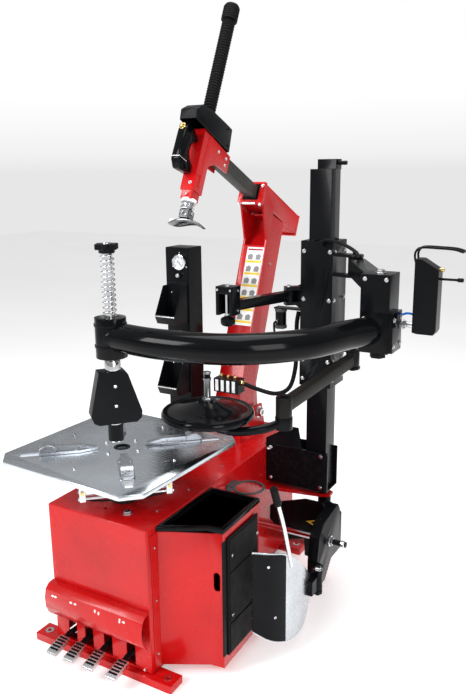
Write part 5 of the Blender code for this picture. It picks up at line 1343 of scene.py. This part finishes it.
def lower_arms():
    """Disc arm, lift disc and roller arm."""
    refine("disc_link", LINK_GREY, 0.003, 3)
    refine("disc_arm", BLACK, 0.0015, 3)
    refine("roller_arm", BLACK, 0.0025, 3)
    axis = joint_place("disc_spin")
    centre = Matrix.Translation((axis.x, axis.y, 0))
    turned_piece("lift_disc_fine", ((0.0112, 0.8605), (0.06, 0.8618), (0.134, 0.864), (0.1495, 0.8672),
        (0.1535, 0.873), (0.154, 0.878), (0.1525, 0.885), (0.148, 0.89), (0.143, 0.8907), (0.1385, 0.8885),
        (0.132, 0.888), (0.09, 0.899), (0.064, 0.9085), (0.04, 0.915), (0.0335, 0.9185), (0.0325, 0.921),
        (0.0112, 0.9212)), centre, GLOSS_BLACK, sides=96, nodes=("lift_disc",))
    turned_piece("disc_stem", ((0.0, 0.922), (0.018, 0.922), (0.018, 0.93), (0.013, 0.933), (0.0108, 0.936),
        (0.0108, 0.99), (0.0135, 0.9915), (0.0135, 0.999), (0.0095, 1.0005), (0.0095, 1.012),
        (0.0125, 1.013), (0.0125, 1.0185), (0.0105, 1.02), (0.0, 1.0202)), centre, HEAD_STEEL, "disc_arm",
        40)
    axis = joint_place("disc_arm_swing")
    turned_piece("elbow_cap", ((0.0, 0.945), (0.024, 0.945), (0.024, 0.9475), (0.013, 0.9485),
        (0.013, 0.953), (0.0, 0.954)), Matrix.Translation((axis.x, axis.y, 0)), BLACK, "disc_link", 40)
    x, y = 0.222, 0.345
    turned_piece("bead_roller_fine", ((0.0, 1.119), (0.013, 1.119), (0.0205, 1.122), (0.0258, 1.1285),
        (0.0262, 1.137), (0.0258, 1.1455), (0.02, 1.15), (0.012, 1.153), (0.012, 1.159), (0.0, 1.159)),
        Matrix.Translation((x, y, 0)), PLASTIC, nodes=("bead_roller",))
    bm = bmesh.new()
    add_hex_bolt(bm, (x, y, 1.262), Z_UP, 0.0075)
    for z in (1.176, 1.246):
        add_cap_screw(bm, (x + 0.034, y + 0.01, z), X_RIGHT, 0.004)
    add_cap_screw(bm, (x - 0.026, y - 0.026, 1.25), Y_FRONT, 0.004)
    add_cap_screw(bm, (x + 0.026, y - 0.026, 1.25), Y_FRONT, 0.004)
    piece(bm, "roller_head_bolts", BOLT, "roller_arm")
    piece(shape(add_rod, (x, y - 0.006, 1.158), (x, y - 0.006, 1.236), 0.007, 20), "roller_head_spindle",
        CHROME, "roller_arm")


post_and_carriage()
press_arm_and_rod()
control()
lower_arms()


# ---------------------------------------------------------------- bead breaker, side box, tower and trays
GUARD_STEPS = 17
BLADE_SHEET = 0.006


def across_rail(rail, index):
    """The level direction across a rail, at one of its points."""
    before, after = rail[max(index - 1, 0)], rail[min(index + 1, len(rail) - 1)]
    along = Vector((after.x - before.x, after.y - before.y, 0)).normalized()
    return Vector((-along.y, along.x, 0))


def add_sheet(bm, rails, count, near, far, margin=0.0):
    """A bent sheet along the first points of two rails, its faces near and far inside them."""
    rings = []
    for index in range(count):
        inward = across_rail(rails[0], index)
        low, high = rails[0][index], rails[1][index]
        slope = (high - low) * margin
        corners = (low + slope + inward * near, high - slope + inward * near, high - slope + inward * far,
            low + slope + inward * far)
        rings.append([bm.verts.new(point) for point in corners])
    add_loft(bm, rings)


def breaker():
    """Bead breaker arm, blade, guard and lever."""
    refine("breaker_arm", BLACK, 0.003, 3)
    piece(shape(add_hex_bolt, (0.45, 0.715, 0.395), Z_UP, 0.012), "pivot_nut", BOLT, "breaker_arm")
    turned_piece("web_circlip", ((0.0085, 0.0), (0.0125, 0.0), (0.0125, 0.0018), (0.0085, 0.0018)),
        axis_frame((0.44, 0.64, 0.198), (0.44, 0.63, 0.198)), BOLT, "breaker_arm")
    piece(shape(add_label, ((0.0, 0.0), (0.062, 0.021), (0.052, -0.021)),
        Matrix.Translation((0.405, 0.6398, 0.275)) @ Matrix.Rotation(math.pi / 2, 4, "X")),
        "caution_triangle", YELLOW_INK, "breaker_arm")
    piece(shape(add_label, ((0.018, 0.0006), (0.055, 0.015), (0.049, -0.014)),
        Matrix.Translation((0.405, 0.6391, 0.275)) @ Matrix.Rotation(math.pi / 2, 4, "X")),
        "caution_triangle_field", PLASTIC, "breaker_arm")
    bm = bmesh.new()
    add_rod(bm, (0.545, 0.545, 0.27), (0.59, 0.545, 0.27), 0.0105, 28, 0.001)
    add_rod(bm, (0.59, 0.545, 0.27), (0.607, 0.545, 0.27), 0.0135, 28, 0.003)
    add_hex_bolt(bm, (0.5475, 0.545, 0.27), X_RIGHT, 0.0165, 0.012)
    piece(bm, "rod_end", CHROME, "breaker_arm")
    bm = bmesh.new()
    hinge = joint_place("blade_adjust")
    add_rod(bm, (hinge.x, hinge.y, 0.128), (hinge.x, hinge.y, 0.2385), 0.0085, 24, 0.0015)
    add_hex_bolt(bm, (hinge.x, hinge.y, 0.23), Z_UP, 0.013)
    add_cap_screw(bm, (0.547, 0.425, 0.18), X_RIGHT, 0.011)
    piece(bm, "blade_hinge_bolt", BOLT, "breaker_arm")
    refine("breaker_rod", CHROME, 0.0008, 2)

    plan = ((0.455, 0.085), (0.505, 0.12), (0.535, 0.175), (0.549, 0.24), (0.55, 0.305), (0.54, 0.375))
    lows = (0.125, 0.085, 0.058, 0.048, 0.06, 0.11)
    highs = (0.425, 0.418, 0.398, 0.35, 0.285, 0.215)
    rails = [smooth_route([(x, y, z) for (x, y), z in zip(plan, levels)], 8) for levels in (lows, highs)]
    piece(shape(add_sheet, rails, len(rails[0]), 0.0, BLADE_SHEET), "blade_fine", GALVANISED, width=0.0012,
        nodes=("breaker_blade",))
    bm = bmesh.new()
    add_rod(bm, (hinge.x, hinge.y, 0.1478), (hinge.x, hinge.y, 0.2152), 0.0168, 32)
    add_block(bm, (0.538, 0.335, 0.153), (0.5665, 0.398, 0.21))
    piece(bm, "blade_knuckle", BLACK, "breaker_blade", 0.002, 3)
    bm = bmesh.new()
    lever = ((0.543, 0.205, 0.34), (0.541, 0.193, 0.382), (0.537, 0.158, 0.5), (0.533, 0.12, 0.6))
    add_pipe(bm, smooth_route(lever, 8), 0.0078, 24)
    piece(bm, "blade_lever", CHROME, "breaker_blade")
    piece(shape(add_sheet, rails, GUARD_STEPS, -0.0002, -0.0052, 0.02), "blade_guard", PLASTIC,
        "breaker_blade", 0.0012)
    bm = bmesh.new()
    for index, share in ((7, 0.86), (10, 0.3)):
        outward = -across_rail(rails[0], index)
        add_cap_screw(bm, rails[0][index].lerp(rails[1][index], share) + outward * 0.005, outward, 0.005)
    piece(bm, "guard_rivets", BOLT, "breaker_blade")
    start, end = Vector((0.533, 0.12, 0.6)), Vector((0.5302, 0.093, 0.671))
    length = (end - start).length
    turned_piece("lever_grip_fine", ((0.008, 0.0006), (0.012, 0.0006), (0.0132, 0.004), (0.0134, 0.02),
        (0.0126, 0.03), (0.0134, 0.04), (0.0126, 0.05), (0.0134, 0.06), (0.013, length - 0.006),
        (0.01, length - 0.001), (0.0, length), (0.0, 0.01), (0.008, 0.01)), axis_frame(start, end),
        DARK_RUBBER, sides=40, nodes=("lever_grip",))


SIDE_BOX = ((0.2093, -0.106), (0.357, -0.026), (0.407, -0.02), (0.402, 0.235), (0.2093, 0.232))


def inset_outline(outline, inset):
    """Move every edge of a convex counter-clockwise outline inwards."""
    moved = []
    count = len(outline)
    for index in range(count):
        before, here, after = (Vector(outline[(index + shift) % count]) for shift in (-1, 0, 1))
        edge_in, edge_out = (here - before).normalized(), (after - here).normalized()
        normal_in, normal_out = Vector((-edge_in.y, edge_in.x)), Vector((-edge_out.y, edge_out.x))
        bisector = (normal_in + normal_out).normalized()
        moved.append(here + bisector * inset / bisector.dot(normal_in))
    return [(point.x, point.y) for point in moved]


def box_and_tray():
    """Side box, its tray and the bead pad."""
    refine("side_box", RED, 0.003, 3)
    rim = bevel(new_object(shape(add_prism, inset_outline(SIDE_BOX, -0.0035), "Z", 0.5283, 0.5462),
        "tray_rim"), 0.0045, 4)
    apply_modifiers(rim)
    cut(rim, new_object(shape(add_prism, inset_outline(SIDE_BOX, 0.01), "Z", 0.5, 0.6), "cutter"))
    place_piece(rim, GLOSS_BLACK, nodes=("tray_liner",))
    well = new_object(shape(add_prism, inset_outline(SIDE_BOX, 0.0055), "Z", 0.47, 0.54), "tray_well")
    cut(well, new_object(shape(add_prism, inset_outline(SIDE_BOX, 0.0105), "Z", 0.4745, 0.6), "cutter"))
    place_piece(well, PLASTIC, "tray_liner")
    piece(shape(add_block, (0.345, -0.014, 0.474), (0.3485, 0.222, 0.518)), "tray_divider", PLASTIC,
        "tray_liner", 0.001)
    piece(shape(add_block, (0.2091, -0.14, 0.036), (0.2125, -0.1065, 0.527)), "side_box_flange", RED,
        "side_box", 0.0008)
    bm = bmesh.new()
    for z in (0.09, 0.29, 0.48):
        add_cap_screw(bm, (0.2125, -0.123, z), X_RIGHT, 0.0042)
    piece(bm, "side_box_screws", BOLT, "side_box")
    piece(shape(add_block, (0.4068, 0.0, 0.075), (0.414, 0.205, 0.505)), "bead_pad_back", DARK_RUBBER,
        width=0.002, segments=3, nodes=("bead_pad",))
    for name, low, high in (("upper", 0.384, 0.497), ("middle", 0.196, 0.376), ("lower", 0.083, 0.188)):
        piece(shape(add_block, (0.413, 0.008, low), (0.4166, 0.197, high)), f"bead_pad_{name}_field",
            DARK_RUBBER, "bead_pad", 0.0016, 3)
    bm = bmesh.new()
    for z in (0.222, 0.44):
        add_cap_screw(bm, (0.4166, 0.018, z), X_RIGHT, 0.006)
        add_cap_screw(bm, (0.4166, 0.187, z), X_RIGHT, 0.006)
    piece(bm, "bead_pad_screws", BOLT, "bead_pad")
    piece(shape(add_block, (0.404, -0.023, 0.08), (0.4085, 0.004, 0.5)), "bead_pad_edge", PLASTIC,
        "bead_pad", 0.001)
    refine("bucket_ring", CASTING, 0.0012, 2)


GAUGE_Z = 1.303


def tower_and_trays():
    """Gauge tower with its gauge, tool trays and air line."""
    refine("gauge_tower", BLACK, 0.0045, 4)
    face = 0.5597
    frame_y = axis_frame((-0.122, face, GAUGE_Z), (-0.122, face - 0.1, GAUGE_Z))
    turned_piece("gauge_bezel", ((0.0, -0.02), (0.0255, -0.02), (0.0258, 0.0), (0.031, 0.0),
        (0.0312, 0.004), (0.03, 0.0098), (0.0275, 0.0105), (0.0262, 0.0085), (0.0, 0.0085)), frame_y,
        CHROME, nodes=("pressure_gauge",))
    turned_piece("gauge_dial", ((0.0, 0.0086), (0.0261, 0.0086), (0.0261, 0.009), (0.0, 0.009)), frame_y,
        DIAL_WHITE, "pressure_gauge")
    bm = bmesh.new()
    for step in range(25):
        angle = math.radians(-45 + 270 * step / 24)
        long = 0.008 if step % 4 == 0 else 0.0045
        tick = bmesh.new()
        add_block(tick, (0.0242 - long, -0.0006, 0.0), (0.0242, 0.0006, 0.0004))
        transform(tick, frame_y @ Matrix.Translation((0, 0, 0.009)) @ Matrix.Rotation(angle, 4, "Z"))
        merge(bm, tick)
    needle = bmesh.new()
    add_prism(needle, ((-0.007, -0.0014), (0.02, -0.0006), (0.02, 0.0006), (-0.007, 0.0014)), "Z", 0.0,
        0.0005)
    transform(needle, frame_y @ Matrix.Translation((0, 0, 0.0094)) @ Matrix.Rotation(math.radians(-45), 4,
        "Z"))
    merge(bm, needle)
    piece(bm, "gauge_marks", PLASTIC, "pressure_gauge")
    turned_piece("gauge_hub", ((0.0, 0.0094), (0.003, 0.0094), (0.003, 0.0103), (0.0, 0.0105)), frame_y,
        BOLT, "pressure_gauge")
    bm = bmesh.new()
    for angle in (90, 210, 330):
        x, z = 0.0365 * math.cos(math.radians(angle)), 0.0365 * math.sin(math.radians(angle))
        add_cap_screw(bm, (-0.122 + x, face, GAUGE_Z + z), Y_FRONT, 0.003)
    add_cap_screw(bm, (-0.105, face, 0.7), Y_FRONT, 0.004)
    piece(bm, "gauge_screws", BOLT, "gauge_tower")
    turned_piece("bleed_knob", ((0.0, 0.0), (0.006, 0.0), (0.006, 0.006), (0.0085, 0.007), (0.0085, 0.014),
        (0.007, 0.016), (0.0, 0.016)), axis_frame((-0.126, face, GAUGE_Z - 0.053),
        (-0.126, face - 0.1, GAUGE_Z - 0.053)), CHROME, "gauge_tower", 24)
    refine("tool_holder", PLASTIC, 0.0014, 3)
    bm = bmesh.new()
    for foot in (0.77, 1.06):
        for x in (-0.16, -0.112):
            add_cap_screw(bm, (x, face - 0.003, foot + 0.12), Y_FRONT, 0.0045)
        add_rod(bm, (-0.182, face - 0.0945, foot + 0.0372), (-0.09, face - 0.0945, foot + 0.0372), 0.0028,
            12)
    piece(bm, "tray_screws", BOLT, "tool_holder")
    turned_piece("tower_rear_fitting", ((0.0, 0.0), (0.0095, 0.0), (0.0095, 0.01), (0.0065, 0.012),
        (0.0065, 0.026), (0.0, 0.026)), axis_frame((-0.136, 0.66, 1.18), (-0.136, 0.7, 1.18)), BRASS,
        "gauge_tower", 24)
    bm = bmesh.new()
    route = ((-0.136, 0.684, 1.18), (-0.136, 0.702, 1.165), (-0.134, 0.705, 1.05), (-0.128, 0.69, 0.9),
        (-0.12, 0.68, 0.7), (-0.118, 0.69, 0.6), (-0.118, 0.69, 0.551))
    add_pipe(bm, smooth_route(route, 10), 0.0045, 14)
    piece(bm, "gauge_air_line", DARK_RUBBER, "gauge_tower")
    piece(shape(add_rod, (-0.118, 0.69, 0.5515), (-0.118, 0.69, 0.557), 0.0085, 24, 0.001),
        "gauge_line_grommet", PLASTIC, "cabinet_shell")


breaker()
box_and_tray()
tower_and_trays()


for material, names in ((RED, ("base_frame", "front_hood")), (CASTING, ("gearbox", "drive_motor")),
        (DARK_RUBBER, ("drive_belt",)), (ALUMINIUM, ("breaker_cylinder", "tilt_cylinder")),
        (CASTING, ("turntable_hub",)), (ZINC, ("gearbox_pulley", "motor_pulley")), (CHROME, ("tilt_rod",))):
    for node in names:
        refine(node, material, DEFAULT_BEVEL)
